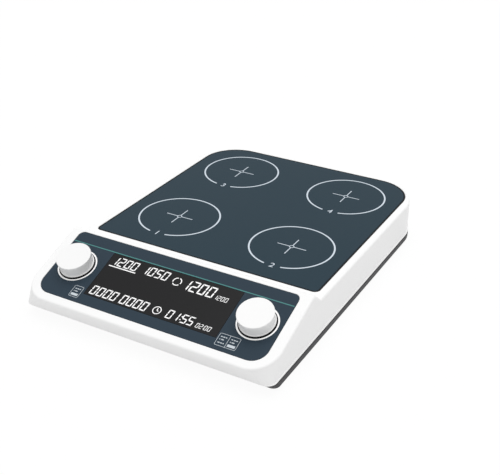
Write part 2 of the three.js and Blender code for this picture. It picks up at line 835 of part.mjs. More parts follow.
// Motor: can with a rounded edge, a bushing through the bridge, a bore for the shaft, two screw holes
function motors() {
  const face = bridgeUnderside - seat;
  const foot = face - motorHeight;
  const bore = motorShaftRadius + seat;
  const boreFoot = face - motorShaftDepth;
  const profile = [
    [0, foot],
    [motorRadius - motorEdge, foot],
    [motorRadius, foot + motorEdge],
    [motorRadius, face - motorEdge],
    [motorRadius - motorEdge, face],
    [motorBushingRadius, face],
    [motorBushingRadius, face + motorBushingRise],
    [bore, face + motorBushingRise],
    [bore, boreFoot],
    [0, boreFoot],
  ];
  const can = solid(turned(profile, round));
  const holeFoot = bridgeTop - motorScrewLength - seat;
  const holes = [-1, 1].map((side) =>
    solid(rod((side * motorScrewSpacing) / 2, 0, motorScrewRadius + seat, holeFoot, bridgeTop)),
  );
  const geometry = geometryOf(can.subtract(union(holes)));
  stirPlaces.forEach(([x, y], i) => {
    piece(`motor_${i + 1}`, geometry.clone(), motorSteel).position.set(x, y, 0);
  });
  const screw = screwProfile(
    motorScrewRadius,
    motorScrewLength,
    motorScrewHeadRadius,
    motorScrewHeadHeight,
  );
  motorScrewPlaces.forEach(([x, y], i) => {
    const side = i % 2 === 0 ? "left" : "right";
    const name = `motor_${Math.floor(i / 2) + 1}_screw_${side}`;
    piece(name, turned(screw, small), screwSteel).position.set(x, y, bridgeTop + seat);
  });
}

// Magnet carrier with its shaft, and two magnets in open pockets
function magnetCarriers() {
  const top = plateUnderside - carrierAir;
  const foot = top - carrierHeight;
  const hubFoot = foot - carrierHubHeight;
  const shaftFoot = bridgeUnderside - motorShaftDepth;
  const profile = [
    [0, shaftFoot],
    [motorShaftRadius, shaftFoot],
    [motorShaftRadius, hubFoot],
    [carrierHubRadius, hubFoot],
    [carrierHubRadius, foot],
    [carrierRadius - carrierEdge, foot],
    [carrierRadius, foot + carrierEdge],
    [carrierRadius, top - carrierEdge],
    [carrierRadius - carrierEdge, top],
    [0, top],
  ];
  const pocketFoot = top - magnetHeight - seat;
  const pockets = [-1, 1].map((side) =>
    solid(rod((side * magnetSpacing) / 2, 0, magnetRadius + seat, pocketFoot, top + cutOver, round)),
  );
  const geometry = geometryOf(solid(turned(profile, round)).subtract(union(pockets)));
  stirPlaces.forEach(([x, y], i) => {
    piece(`magnet_carrier_${i + 1}`, geometry.clone(), carrierPlastic).position.set(x, y, 0);
    [-1, 1].forEach((side) => {
      const name = `magnet_${i + 1}_${side < 0 ? "left" : "right"}`;
      const magnet = rod((side * magnetSpacing) / 2, 0, magnetRadius, pocketFoot + seat, top, round);
      piece(name, magnet, magnetNickel).position.set(x, y, 0);
    });
  });
}

// Driver board with a few flat chips, and the power inlet that looks out through the back wall
function driverBoard() {
  const board = solid(
    block(-driverWidth / 2, driverWidth / 2, driverFrontY, driverBackY, driverUnderside, driverTop),
  );
  const middleY = (driverFrontY + driverBackY) / 2;
  const chips = chipShares.map(([x, y, w, d]) => {
    const cx = x * driverWidth;
    const cy = middleY + y * driverDepth;
    const hw = (w * driverWidth) / 2;
    const hd = (d * driverDepth) / 2;
    const sunk = driverTop - boardThickness / 2;
    return solid(block(cx - hw, cx + hw, cy - hd, cy + hd, sunk, driverTop + chipRise));
  });
  const holes = driverPinPlaces.map(([x, y]) =>
    solid(rod(x, y, boardPinRadius + seat, driverUnderside - cutOver, driverTop + cutOver)),
  );
  piece("driver_board", geometryOf(union([board, ...chips]).subtract(union(holes))), boardGreen);
}

function powerJack() {
  const inside = backY - footLip - housingWall - seat;
  const nose = backY - footLip - seat;
  const half = jackWidth / 2;
  const foot = driverTop + seat;
  const boreEnd = nose - jackBoreDepth;
  const body = solid(block(-half, half, inside - jackLength, inside, foot, foot + jackHeight));
  const barrel = solid(rodAlongY(0, jackZ, jackNoseRadius, inside - jackLength / 2, nose, round));
  const bore = solid(rodAlongY(0, jackZ, jackBoreRadius, boreEnd, nose + cutOver, round));
  const pin = solid(rodAlongY(0, jackZ, jackPinRadius, boreEnd - jackPinRadius, boreEnd + jackPinLength));
  piece("power_jack", geometryOf(body.add(barrel).subtract(bore).add(pin)), blackPlastic);
}

// Slate overlay with openings for the window and the knobs' shafts, and the smoked window in it
function controlOverlay() {
  const film = solid(overlaySlab(-overlayThickness, 0, 0));
  const cuts = [
    solid(windowBlock(-cutOver, cutOver, seat)),
    ...knobPlaces.map(([x, y]) => solid(rod(x, y, bushingRadius + seat, -cutOver, cutOver, round))),
  ];
  piece("control_overlay", geometryOf(film.subtract(union(cuts))), overlayFilm, panelGroup);
  piece("display_window", windowBlock(-overlayThickness, 0, 0), smokedWindow, panelGroup);
}

// Display module: a frame with the glass set a little lower
function displayModule() {
  const body = solid(windowBlock(moduleTopH - moduleDepth, moduleTopH, moduleMargin));
  const frameIn = moduleMargin - moduleFrame;
  const glass = solid(windowBlock(moduleTopH - moduleStep, moduleTopH + cutOver, frameIn));
  piece("display_module", geometryOf(body.subtract(glass)), displayBlack, panelGroup);
}

function controlBoard() {
  const half = controlBoardWidth / 2;
  const sheet = solid(
    block(
      -half,
      half,
      -controlBoardTopV - controlBoardHeight,
      -controlBoardTopV,
      controlBoardFoot,
      controlBoardTop,
    ),
  );
  const holes = controlPostPlaces.map(([x, y]) =>
    solid(rod(x, y, boardPinRadius + seat, controlBoardFoot - cutOver, controlBoardTop + cutOver)),
  );
  piece("control_board", geometryOf(sheet.subtract(union(holes))), boardGreen, panelGroup);
}

// Encoder: box with a bushing, open through its bore, round a plunger and the flange of the shaft
function encoderBody() {
  const box = solid(
    block(
      -encoderWidth / 2,
      encoderWidth / 2,
      -encoderHeight / 2,
      encoderHeight / 2,
      encoderTopH - encoderDepth,
      encoderTopH,
    ),
  );
  const bushing = solid(rod(0, 0, bushingRadius, roofH, bushingTopH, round));
  const bore = solid(rod(0, 0, shaftRadius + seat, chamberFootH, bushingTopH + cutOver, round));
  const chamber = solid(rod(0, 0, flangeRadius + seat, chamberFootH, roofH, round));
  return geometryOf(box.add(bushing).subtract(bore).subtract(chamber));
}

function encoderShaft() {
  const profile = [
    [0, flangeFootH],
    [flangeRadius, flangeFootH],
    [flangeRadius, flangeTopH],
    [shaftRadius, flangeTopH],
    [shaftRadius, shaftTopH],
    [0, shaftTopH],
  ];
  return turned(profile, round);
}

function encoderPlunger() {
  const profile = [
    [plungerHole, plungerFootH],
    [plungerRadius, plungerFootH],
    [plungerRadius, plungerTopH],
    [plungerHole, plungerTopH],
    [plungerHole, plungerFootH],
  ];
  return turned(profile, small);
}

// Knob: hollow cap that narrows to its foot, with a small lip there and a stem on the shaft
function knob() {
  const knobFootRadius = knobRadius - knobTaper;
  const lipRadius = knobFootRadius + knobLipOut;
  const outside = [
    [0, knobTopH],
    [knobRadius - knobRound, knobTopH],
  ];
  for (let i = 1; i <= edgeSteps; i += 1) {
    const angle = (i / edgeSteps) * (Math.PI / 2);
    outside.push([
      knobRadius - knobRound * (1 - Math.sin(angle)),
      knobTopH - knobRound * (1 - Math.cos(angle)),
    ]);
  }
  const profile = [
    [0, shaftTopH + seat],
    [shaftRadius + seat, shaftTopH + seat],
    [shaftRadius + seat, stemFootH],
    [stemRadius, stemFootH],
    [stemRadius, shaftTopH + seat],
    [knobRadius - knobSkin, shaftTopH + seat],
    [knobRadius - knobSkin, knobFootH],
    [lipRadius, knobFootH],
    [lipRadius, knobFootH + knobLip],
    [knobFootRadius, knobFootH + knobLip],
    ...outside.reverse(),
  ];
  return turned(profile, finely);
}

function knobs() {
  const names = ["left", "right"];
  knobPlaces.forEach(([x, y], i) => {
    const side = names[i];
    piece(`${side}_encoder`, encoderBody(), blackPlastic, panelGroup).position.set(x, y, 0);
    piece(`${side}_encoder_plunger`, encoderPlunger(), blackPlastic, panelGroup).position.set(x, y, 0);
    piece(`${side}_encoder_shaft`, encoderShaft(), motorSteel, panelGroup).position.set(x, y, 0);
    piece(`${side}_knob`, knob(), knobPlastic, panelGroup).position.set(x, y, 0);
  });
}

baseTray();
feet();
housingScrews();
topHousing();
workPlate();
motorBridge();
bridgeScrews();
motors();
magnetCarriers();
driverBoard();
powerJack();
controlOverlay();
displayModule();
controlBoard();
knobs();

export default parts;
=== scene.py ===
import json
import math
from collections import namedtuple
from functools import partial

import bmesh
import bpy
from mathutils import Matrix, Quaternion, Vector


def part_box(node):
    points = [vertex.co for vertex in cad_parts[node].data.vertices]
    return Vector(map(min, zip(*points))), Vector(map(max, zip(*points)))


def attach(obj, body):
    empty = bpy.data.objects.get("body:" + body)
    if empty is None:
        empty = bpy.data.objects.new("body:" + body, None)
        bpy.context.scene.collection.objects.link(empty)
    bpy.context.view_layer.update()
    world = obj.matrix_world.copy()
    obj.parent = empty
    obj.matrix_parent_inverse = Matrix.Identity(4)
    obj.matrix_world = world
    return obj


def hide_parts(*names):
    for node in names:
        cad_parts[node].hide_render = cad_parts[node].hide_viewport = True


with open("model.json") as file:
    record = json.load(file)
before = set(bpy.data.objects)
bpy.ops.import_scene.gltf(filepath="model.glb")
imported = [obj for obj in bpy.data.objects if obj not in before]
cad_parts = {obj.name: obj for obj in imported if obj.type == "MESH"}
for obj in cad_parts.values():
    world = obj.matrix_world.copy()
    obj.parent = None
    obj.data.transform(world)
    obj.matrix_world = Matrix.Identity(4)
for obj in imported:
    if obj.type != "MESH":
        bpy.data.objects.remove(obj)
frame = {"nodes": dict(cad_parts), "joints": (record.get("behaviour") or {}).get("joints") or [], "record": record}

bl_info = {
    "name": "Multi-Position Magnetic Stirrer",
    "version": (1, 0, 0),
    "blender": (4, 5, 0),
    "location": "View3D > Sidebar > Stirrer",
    "description": "Builds a four-position magnetic stirrer round its packed frame",
    "category": "Add Mesh",
}

UP = Vector((0, 0, 1))
WHOLE_TURN = 2 * math.pi
QUARTER_TURN = math.pi / 2
SHARP_FROM = math.radians(32)
SENSOR_WIDTH_MM = 36

# Distances in metres, but the glyph's, which is in its own units
LEAST_CORNER = 0.001
SAME_POINT = 1e-7
CLOSE_BY = 1e-6
SAME_GLYPH_POINT = 1e-5
BUMP_DEPTH = 0.0001
PRINT_RISE = 0.00005

# Flat steps on round forms
CORNER_STEPS = 20
EDGE_STEPS = 8
BLEND_STEPS = 8
FOOT_STEPS = 64
RING_STEPS = 128
KNOB_STEPS = 96
SLAB_EDGE_STEPS = 3
OPENING_CORNER_STEPS = 3
WINDOW_CORNER_STEPS = 4
HOLE_STEPS = 32
INLET_STEPS = 48
SOLE_EDGE_STEPS = 4
EYE_STEPS = 24
BOX_CORNER_STEPS = 5
SPEED_SIGN_STEPS = 16
CLOCK_SIGN_STEPS = 48

# Shares of a larger size
RIM_NEAR_SHARE = 0.125
WINDOW_CORNER_SHARE = 0.25
GROOVE_SHARES = 0.45, 0.62
SPIGOT_SHARE = 0.3
DISH_SHARES = (0.75, 0.6), (0.4, 1), (0, 1)
CLOCK_SIGN_SHARE = 0.94
CLOCK_LINE_SHARE = 0.85
CLOCK_HANDS = (0, 0.6), (0.45, -0.2)

# From the coloured line's end to the overlay's edge, in widths of the edge's chamfer
LINE_END_EDGES = 3

# Where the speed sign's first stroke starts, and the gap after each of the three
SPEED_SIGN_START = math.radians(100)
SPEED_SIGN_GAP = math.radians(22)

# Pattern of a board's tracks, in the brick node's own units
TRACK_SCALE = 160
TRACK_WIDTH = 0.06


# Properties

def setting(kind, words, default, **options):
    """A setting of that kind with its description and default."""
    return kind(description=words, default=default, **options)


# Sizes and places are in metres
length = partial(setting, bpy.props.FloatProperty, unit="LENGTH", precision=5)
place = partial(setting, bpy.props.FloatVectorProperty, unit="LENGTH", precision=5)
number = partial(setting, bpy.props.FloatProperty, precision=4)


def angle(words, degrees):
    """An angle, given in degrees."""
    return setting(bpy.props.FloatProperty, words, math.radians(degrees), unit="ROTATION")


def from_screen(level):
    """Linear light of a screen level from 0 to 255, by the usual sRGB curve."""
    share = level / 255
    return share / 12.92 if share <= 0.04045 else ((share + 0.055) / 1.055) ** 2.4


def colour(words, *levels):
    """A colour, given by the levels of red, green and blue that a screen shows, 0 to 255."""
    linear = [from_screen(level) for level in levels]
    kind = bpy.props.FloatVectorProperty
    return setting(kind, words, linear, subtype="COLOR", min=0, max=1)


def named(group):
    """Gives each setting of a group its name in the panels, after its name in the class."""
    for attribute, entry in group.__annotations__.items():
        entry.keywords["name"] = attribute.replace("_", " ").title()
    return group


@named
class HousingSizes(bpy.types.PropertyGroup):
    """White housing: its walls, rounds, ramp and recesses"""

    wall: length("Thickness of the walls", 0.003)
    edge_round: length("Radius of the upper edges", 0.002)
    inner_round: length("Radius of the same edges inside", 0.001)
    back_corner: length("Plan radius of the two back corners", 0.051)
    rim_corner: length("Plan radius of the front corners at the console's rim", 0.0245)
    foot_corner: length("Plan radius of the front corners at the lower edge", 0.009)
    foot_lip: length("How far a small lip stands out at the lower edge", 0.0012)
    lip_front: length("How far the same lip stands out in front", 0.00005)
    lip_height: length("Height of the lip round the lower edge", 0.0008)
    front_rim: length("Deck between the plate and the ramp", 0.0094)
    panel_length: length("Slope from the ridge to the front face", 0.088)
    knob_line: length("Slope from the ridge to the knobs' middle", 0.0424)
    ridge_blend: length("Half length of the soft turn at the ridge", 0.004)
    ramp_blend: length("Half length of the soft turn at the ramp's foot", 0.003)
    shelf_foot: length("Height of the underside of the shelf below the plate", 0.0369)
    shelf_top: length("Height of the shelf that carries the seal", 0.0393)
    shelf_width: length("How far the shelf reaches in under the plate", 0.006)
    recess_gap: length("From the plate to the recess round it", 0.0016)
    recess_chamfer: length("Small chamfer at the recesses' edges", 0.0004)
    overlay_gap: length("From the overlay to the recess round it", 0.0003)
    overlay_floor: length("Depth of the overlay's recess", 0.0013)
    window_rest: length("Housing left under the window's edge", 0.004)
    bushing_hole: length("Radius of the hole for a knob's bushing", 0.0039)
    inlet_hole: length("Radius of the hole for the power inlet", 0.0045)
    cut_over: length("How far a cut runs past the face that it opens", 0.004)


@named
class TraySizes(bpy.types.PropertyGroup):
    """Dark tray under the housing, with its feet"""

    undercut: length("How far the front slopes back to its lower edge", 0.0074)
    foot_corner: length("Plan radius of the front corners at the lower edge", 0.006)
    seam_depth: length("Depth of the shadow seam under the housing", 0.0012)
    seam_height: length("Height of the shadow seam", 0.0011)
    lower_edge: length("Chamfer along the lower edge", 0.0005)
    wall: length("Thickness of the wall", 0.003)
    floor: length("Thickness of the floor", 0.0025)
    front_gap: length("How far the front stands back under the housing's", 0.001)
    recess_round: length("Radius of a screw's recess in the floor", 0.0035)
    foot_edge: length("Round at a foot's lower edge", 0.0006)
    foot_dish: length("Depth of the ring groove in a foot's sole", 0.0004)


@named
class PlateSizes(bpy.types.PropertyGroup):
    """Work plate, its seal and its printed stirring positions"""

    back_corner: length("Plan radius of the back corners", 0.037)
    front_corner: length("Plan radius of the front corners", 0.004)
    edge: length("Small round of the upper edge", 0.0004)
    seal_gap: length("Between the plate and its seal", 0.0003)
    seal_wall: length("Thickness of the seal beside the plate", 0.001)
    seal_sole: length("Thickness of the seal below the plate", 0.0008)
    seal_reach: length("How far the seal lies in under the plate", 0.005)
    ring_radius: length("Middle of a printed ring's line", 0.04)
    ring_line: length("Width of a printed ring's line", 0.0016)
    ring_gap: angle("Angle of the gap in front, where the number stands", 24)
    arm_reach: length("From a ring's middle to the end of a cross arm", 0.0148)
    arm_line: length("Width of a cross arm's line", 0.0009)
    eye_radius: length("Radius of the small circle in the middle", 0.0021)
    eye_line: length("Width of the small circle's line", 0.0008)
    digit_height: length("Height of a position's number", 0.0072)
    digit_place: length("From a ring's middle to the number's middle", 0.039)


@named
class PanelSizes(bpy.types.PropertyGroup):
    """Overlay on the console, what is printed on it, and the black painted shade under the knobs"""

    front_corner: length("Radius of the overlay's two corners in front", 0.014)
    back_corner: length("Radius of the overlay's two corners at the ridge", 0.0056)
    edge: length("Small chamfer at the overlay's edge", 0.0002)
    window_gap: length("Between the overlay and the window", 0.0003)
    line_place: length("Slope from the ridge to the coloured line", 0.0172)
    line_width: length("Width of the coloured line", 0.001)
    ring_radius: length("Middle of the white ring round a knob", 0.01765)
    ring_line: length("Width of the white ring's line", 0.0014)
    # The black ring under a knob is painted shade in the dark gap under the knob
    gap_ring_inner: length("Inner radius of the black ring under a knob", 0.008)
    gap_ring_outer: length("Outer radius of the black ring under a knob", 0.0169)
    box_line: length("Width of a key box's line", 0.00034)
    box_corner: length("Corner radius of a key box", 0.0014)
    cell_width: length("Width of one cell of a key box", 0.0098)
    cell_height: length("Height of a key box", 0.0124)
    box_place: length("Slope from the ridge to the key boxes' middle", 0.0687)
    box_inset: length("From the window's side to the left key box", 0.0028)
    pair_inset: length("From the window's side to the right pair of cells", 0.0016)


@named
class KnobSizes(bpy.types.PropertyGroup):
    """Turned knobs"""

    radius: length("Radius at the top edge", 0.016)
    taper: length("How much narrower the foot is", 0.0008)
    edge_round: length("Round of the upper edge", 0.0006)
    dish: length("Depth of the shallow dish in the top", 0.00015)
    skin: length("Thickness of the cap's wall", 0.002)
    lip_height: length("Height of the lip round the foot", 0.0007)
    lip_reach: length("How far the lip stands out", 0.0007)
    lip_round: length("Round of the lip's edge", 0.0002)
    stem_radius: length("Radius of the stem on the shaft", 0.0052)
    shaft_hole: length("Radius of the hole for the shaft", 0.0033)
    stem_foot: length("Height of the stem's foot over the panel", 0.0024)
    roof: length("Height of the inside of the cap over the panel", 0.0097)


@named
class FigureSizes(bpy.types.PropertyGroup):
    """Figures of the display"""

    slope: number("How far a figure leans for each unit of height", 0.12)
    stroke_share: number("Width of a stroke as a share of a figure's width", 0.19)
    gap_share: number("Gap between strokes as a share of a stroke", 0.22)
    sign_radius: length("Radius of the speed sign and the clock sign", 0.004)
    sign_line: length("Width of the signs' lines", 0.0009)
    underline: length("Thickness of the line under the chosen position", 0.001)


@named
class Finishes(bpy.types.PropertyGroup):
    """Colours of the surfaces"""

    housing: colour("White moulded plastic", 246, 246, 246)
    knob: colour("White plastic of the knobs", 244, 244, 244)
    tray: colour("Grey plastic of the tray", 66, 66, 68)
    plate: colour("Slate work plate", 41, 58, 68)
    overlay: colour("Slate film on the console", 50, 63, 74)
    window: colour("Smoked display window", 38, 38, 39)
    plate_print: colour("Rings, crosses and numbers on the plate", 206, 216, 226)
    white_print: colour("White print and figures", 250, 250, 250)
    # Glow of the white ink: real light on the display's figures, painted light on the printed knob rings
    print_glow: number("Light of the white print and figures themselves", 0.14)
    key_print: colour("Key boxes on the console", 202, 210, 216)
    teal_print: colour("Coloured line on the console", 74, 132, 130)
    # The black ring under a knob is painted shade in the gap under the knob
    black_print: colour("Black ring under a knob", 8, 8, 9)
    rubber: colour("Seal and feet", 26, 27, 29)
    board: colour("Solder mask of the boards", 28, 92, 60)
    copper: colour("Tracks on the boards", 60, 130, 84)
    aluminium: colour("Motor bridge", 200, 203, 206)
    steel: colour("Motors and shafts", 160, 164, 168)
    zinc: colour("Screws", 190, 194, 198)
    nickel: colour("Magnets", 214, 216, 220)
    black: colour("Black plastic inside", 28, 28, 30)
    floor: colour("Pale floor", 240, 240, 240)


@named
class StageSettings(bpy.types.PropertyGroup):
    """Camera, floor and light"""

    eye: place("Place of the camera", (0.38357, -0.66704, 0.4485))
    target: place("Point in the middle of the picture", (0.01971, -0.0139, 0.0437))
    roll: angle("Turn of the camera about its line of sight", 0.355)
    lens: number("Focal length in millimetres on a 36 mm wide sensor", 64.645)
    floor_reach: length("Half width of the floor", 3.0)
    floor_drop: length("How far the floor lies under the feet", 0.00005)
    floor_glow: number("Share of plain white in the floor as the camera sees it", 0.95)
    sky: number("Strength of the even light from all round", 0.68)
    lamp: number("Strength of the soft lamp overhead", 1.27)
    lamp_spread: angle("How wide the overhead light is", 50)
    lamp_lean: angle("How far the overhead light leans back from upright", 8)


@named
class StirrerSettings(bpy.types.PropertyGroup):
    """All settings of the stirrer"""

    housing: bpy.props.PointerProperty(type=HousingSizes)
    tray: bpy.props.PointerProperty(type=TraySizes)
    plate: bpy.props.PointerProperty(type=PlateSizes)
    panel: bpy.props.PointerProperty(type=PanelSizes)
    knob: bpy.props.PointerProperty(type=KnobSizes)
    figures: bpy.props.PointerProperty(type=FigureSizes)
    finishes: bpy.props.PointerProperty(type=Finishes)
    stage: bpy.props.PointerProperty(type=StageSettings)


def settings():
    """The stirrer's settings in this scene."""
    return bpy.context.scene.stirrer


# Places read from the frame

def joint(name):
    """The frame's joint of that name."""
    return next(j for j in frame["joints"] if j["name"] == name)


def panel_frame():
    """Frame of the sloping panel: x right, y up the slope from the knobs' line, z out of it."""
    knob = joint("right_knob_turn")
    out = Vector(knob["axis"])
    right = Vector((1, 0, 0))
    turn = Matrix((right, out.cross(right), out)).transposed().to_4x4()
    middle = Vector(knob["pos_m"])
    return Matrix.Translation((0, middle.y, middle.z)) @ turn


def knob_places():
    """Where the left and the right knob's middle lie along the panel."""
    knob_x = joint("right_knob_turn")["pos_m"][0]
    return -knob_x, knob_x


def upright_over(node):
    """Place of an upright piece in the middle of a CAD node's plan."""
    low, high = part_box(node)
    return Matrix.Translation(((low.x + high.x) / 2, (low.y + high.y) / 2, 0))


def panel_box(node):
    """Lowest and highest corner of a CAD node in the panel's own frame."""
    inverse = panel_frame().inverted()
    points = [inverse @ vert.co for vert in frame["nodes"][node].data.vertices]
    return Vector(map(min, zip(*points))), Vector(map(max, zip(*points)))


class HousingForm:
    """Heights and lengths of the housing's top, from the frame and the named sizes."""

    def __init__(self):
        low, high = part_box("top_housing")
        plate_low, plate_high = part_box("work_plate")
        panel = panel_frame()
        self.sizes = settings().housing
        self.half, self.back, self.foot = high.x, high.y, low.z
        self.deck = plate_high.z
        self.ridge = panel @ Vector((0, self.sizes.knob_line, 0))
        fall = panel.to_3x3() @ Vector((0, 1, 0))
        self.tilt = math.atan2(fall.z, fall.y)
        self.ramp_foot = plate_low.y - self.sizes.front_rim

    def panel_height(self, y):
        """Height of the sloping panel."""
        return self.ridge.z + (y - self.ridge.y) * math.tan(self.tilt)

    def ramp_height(self, y):
        """Height of the ramp between the deck and the ridge."""
        share = (self.ramp_foot - y) / (self.ramp_foot - self.ridge.y)
        return self.deck + share * (self.ridge.z - self.deck)

    def top(self, y):
        """Height of the top: panel, soft ridge, ramp, soft foot, deck."""
        soft = self.sizes.ridge_blend
        start, end = self.ridge.y - soft, self.ridge.y + soft
        soft = self.sizes.ramp_blend
        low, high = self.ramp_foot - soft, self.ramp_foot + soft
        if y <= start:
            return self.panel_height(y)
        if y < end:
            heights = self.panel_height(start), self.ridge.z, self.ramp_height(end)
            return soft_turn((y - start) / (end - start), *heights)
        if y <= low:
            return self.ramp_height(y)
        if y < high:
            return soft_turn((y - low) / (high - low), self.ramp_height(low), self.deck, self.deck)
        return self.deck

    def stations(self):
        """Where the form needs cross sections between its corners."""
        sizes = self.sizes
        found = [self.ridge.y - sizes.panel_length * math.cos(self.tilt) / 2]
        turns = (self.ridge.y, sizes.ridge_blend), (self.ramp_foot, sizes.ramp_blend)
        for middle, half in turns:
            for i in range(BLEND_STEPS + 1):
                found.append(middle + half * (2 * i / BLEND_STEPS - 1))
        return found


def soft_turn(share, start, turn, end):
    """A curve from start to end that heads for turn at both ends."""
    rest = 1 - share
    return start * rest * rest + 2 * turn * share * rest + end * share * share


# Mesh tools

Outline = namedtuple("Outline", "half front back front_corner back_corner")


def shrunk(outline, by):
    """The outline moved in by that much all round."""
    half, front, back, *corners = outline
    corners = [max(corner - by, LEAST_CORNER) for corner in corners]
    return Outline(half - by, front + by, back - by, *corners)


def bevelled(bm, geom, radius, segments, affect):
    """Rounds edges, or corner points of a face."""
    bmesh.ops.bevel(
        bm, geom=geom, offset=radius, offset_type="OFFSET", segments=segments, profile=0.5,
        affect=affect, material=-1,
    )


def rounded_face(bm, outline, z, corner_steps=CORNER_STEPS, stations=()):
    """A flat face with round corners, cut at the stations, whose points remember their plan."""
    half, front, back = outline[:3]
    corners = (-half, front), (half, front), (half, back), (-half, back)
    verts = [bm.verts.new((x, y, z)) for x, y in corners]
    bm.faces.new(verts)
    bevelled(bm, verts[:2], outline.front_corner, corner_steps, "VERTICES")
    bevelled(bm, verts[2:], outline.back_corner, corner_steps, "VERTICES")
    for y in stations:
        bmesh.ops.bisect_plane(
            bm, geom=bm.verts[:] + bm.edges[:] + bm.faces[:], plane_co=(0, y, 0),
            plane_no=(0, 1, 0), dist=SAME_POINT,
        )
    plan = bm.verts.layers.float_vector.new("plan")
    for vert in bm.verts:
        vert[plan] = vert.co
    return [edge for edge in bm.edges if edge.is_boundary]


def on_outline(point, first, other, inset=0):
    """Where a point of the first outline lies on the other one, inset from it."""
    side = math.copysign(1, point.x)
    if point.y < first.front + first.front_corner + CLOSE_BY:
        centres = [(o.half - o.front_corner, o.front + o.front_corner) for o in (first, other)]
        reach = other.front_corner - inset
    elif point.y > first.back - first.back_corner - CLOSE_BY:
        centres = [(o.half - o.back_corner, o.back - o.back_corner) for o in (first, other)]
        reach = other.back_corner - inset
    else:
        return Vector((side * (other.half - inset), point.y))
    centre, target = (Vector((side * x, y)) for x, y in centres)
    return target + (point.xy - centre).normalized() * reach


def set_out(first, other, z, inset=0):
    """A rule that puts a point of the first outline's plan on the other one, at a height."""
    return lambda plan: on_outline(plan, first, other, inset).to_3d() + UP * z


def moved_by_plan(bm, rule):
    """Moves every point by its remembered plan."""
    plan = bm.verts.layers.float_vector["plan"]
    for vert in bm.verts:
        vert.co = rule(vert[plan])


def new_only(made, kind):
    """The new elements of one kind in an operator's result."""
    return [element for element in made if isinstance(element, kind)]


def next_rings(bm, ring, rules):
    """Extrudes a ring of edges once for each rule, which sets its points by their plan."""
    plan = bm.verts.layers.float_vector["plan"]
    for rule in rules:
        made = bmesh.ops.extrude_edge_only(bm, edges=ring)["geom"]
        fresh = set(new_only(made, bmesh.types.BMVert))
        for vert in fresh:
            vert.co = rule(vert[plan])
        ring = [edge for edge in new_only(made, bmesh.types.BMEdge) if set(edge.verts) <= fresh]
    return ring


def slab(outline, low, high, corner_steps=CORNER_STEPS, edge=0, flare=0):
    """Upright slab with round corners; edge rounds its upper rim and flare widens it instead."""
    bm = bmesh.new()
    ring = rounded_face(bm, outline, low, corner_steps)
    rules = [set_out(outline, outline, high - flare)]
    if flare:
        rules.append(set_out(outline, outline, high + flare, -2 * flare))
    bmesh.ops.contextual_create(bm, geom=next_rings(bm, ring, rules))
    if edge:
        near = edge * RIM_NEAR_SHARE
        rim = [e for e in bm.edges if all(abs(v.co.z - high) < near for v in e.verts)]
        bevelled(bm, rim, edge, SLAB_EDGE_STEPS, "EDGES")
    return bm


def turned(profile, count):
    """Solid turned round the z axis from points of radius and height."""
    bm = bmesh.new()
    verts = [bm.verts.new((radius, 0, height)) for radius, height in profile]
    edges = [bm.edges.new(pair) for pair in zip(verts, verts[1:])]
    bmesh.ops.spin(
        bm, geom=verts + edges, cent=(0, 0, 0), axis=UP, angle=WHOLE_TURN, steps=count,
        use_merge=True,
    )
    bmesh.ops.remove_doubles(bm, verts=bm.verts, dist=SAME_POINT)
    bmesh.ops.dissolve_degenerate(bm, dist=SAME_POINT, edges=bm.edges)
    return bm


def rod(radius, low, high, count=HOLE_STEPS):
    """Plain round bar on the z axis."""
    return turned([(0, low), (radius, low), (radius, high), (0, high)], count)


def tile(bm, points, low=0):
    """Thin flat print over a polygon."""
    face = bm.faces.new([bm.verts.new((x, y, low)) for x, y in points])
    made = bmesh.ops.extrude_face_region(bm, geom=[face])["geom"]
    bmesh.ops.translate(bm, verts=new_only(made, bmesh.types.BMVert), vec=UP * PRINT_RISE)


def bar(bm, start, end, width, low=0):
    """Thin straight line of print between two points."""
    start, end = Vector(start), Vector(end)
    along = (end - start).normalized()
    side = Vector((-along.y, along.x)) * width / 2
    tile(bm, [start - side, end - side, end + side, start + side], low)


def arc(bm, centre, radius, width, count, start=0, sweep=WHOLE_TURN, low=0):
    """Thin round line of print, from the angle start through the angle sweep."""
    whole = sweep == WHOLE_TURN
    inner, outer, high = radius - width / 2, radius + width / 2, low + PRINT_RISE
    middle = Vector((centre[0], centre[1], 0))
    ray = Vector((math.cos(start), math.sin(start), 0))
    section = (inner, low), (outer, low), (outer, high), (inner, high)
    verts = [bm.verts.new(middle + ray * reach + UP * height) for reach, height in section]
    edges = [bm.edges.new((verts[i - 1], verts[i])) for i in range(len(verts))]
    made = bmesh.ops.spin(
        bm, geom=verts + edges, cent=middle, axis=UP, angle=sweep, steps=count, use_merge=whole
    )
    if not whole:
        for end in edges, new_only(made["geom_last"], bmesh.types.BMEdge):
            bmesh.ops.contextual_create(bm, geom=end)


def closed_band(outline, rules, corner_steps=CORNER_STEPS):
    """Closed ring round an outline: it starts at the first rule and runs on through the others."""
    bm = bmesh.new()
    first = rounded_face(bm, outline, 0, corner_steps)
    bmesh.ops.delete(bm, geom=bm.faces[:], context="FACES_ONLY")
    moved_by_plan(bm, rules[0])
    bmesh.ops.bridge_loops(bm, edges=first + next_rings(bm, first, rules[1:]))
    return bm


def add_mesh(bm, part, matrix=Matrix()):
    """Adds a bmesh to another one and frees it."""
    bmesh.ops.transform(part, matrix=matrix, verts=part.verts)
    mesh = bpy.data.meshes.new("part")
    part.to_mesh(mesh)
    part.free()
    bm.from_mesh(mesh)
    bpy.data.meshes.remove(mesh)


def new_object(bm, name, matrix=Matrix()):
    """An object in the scene from a bmesh, with its place in its mesh."""
    bmesh.ops.transform(bm, matrix=matrix, verts=bm.verts)
    bmesh.ops.recalc_face_normals(bm, faces=bm.faces)
    mesh = bpy.data.meshes.new(name)
    bm.to_mesh(mesh)
    bm.free()
    made = bpy.data.objects.new(name, mesh)
    bpy.context.scene.collection.objects.link(made)
    return made


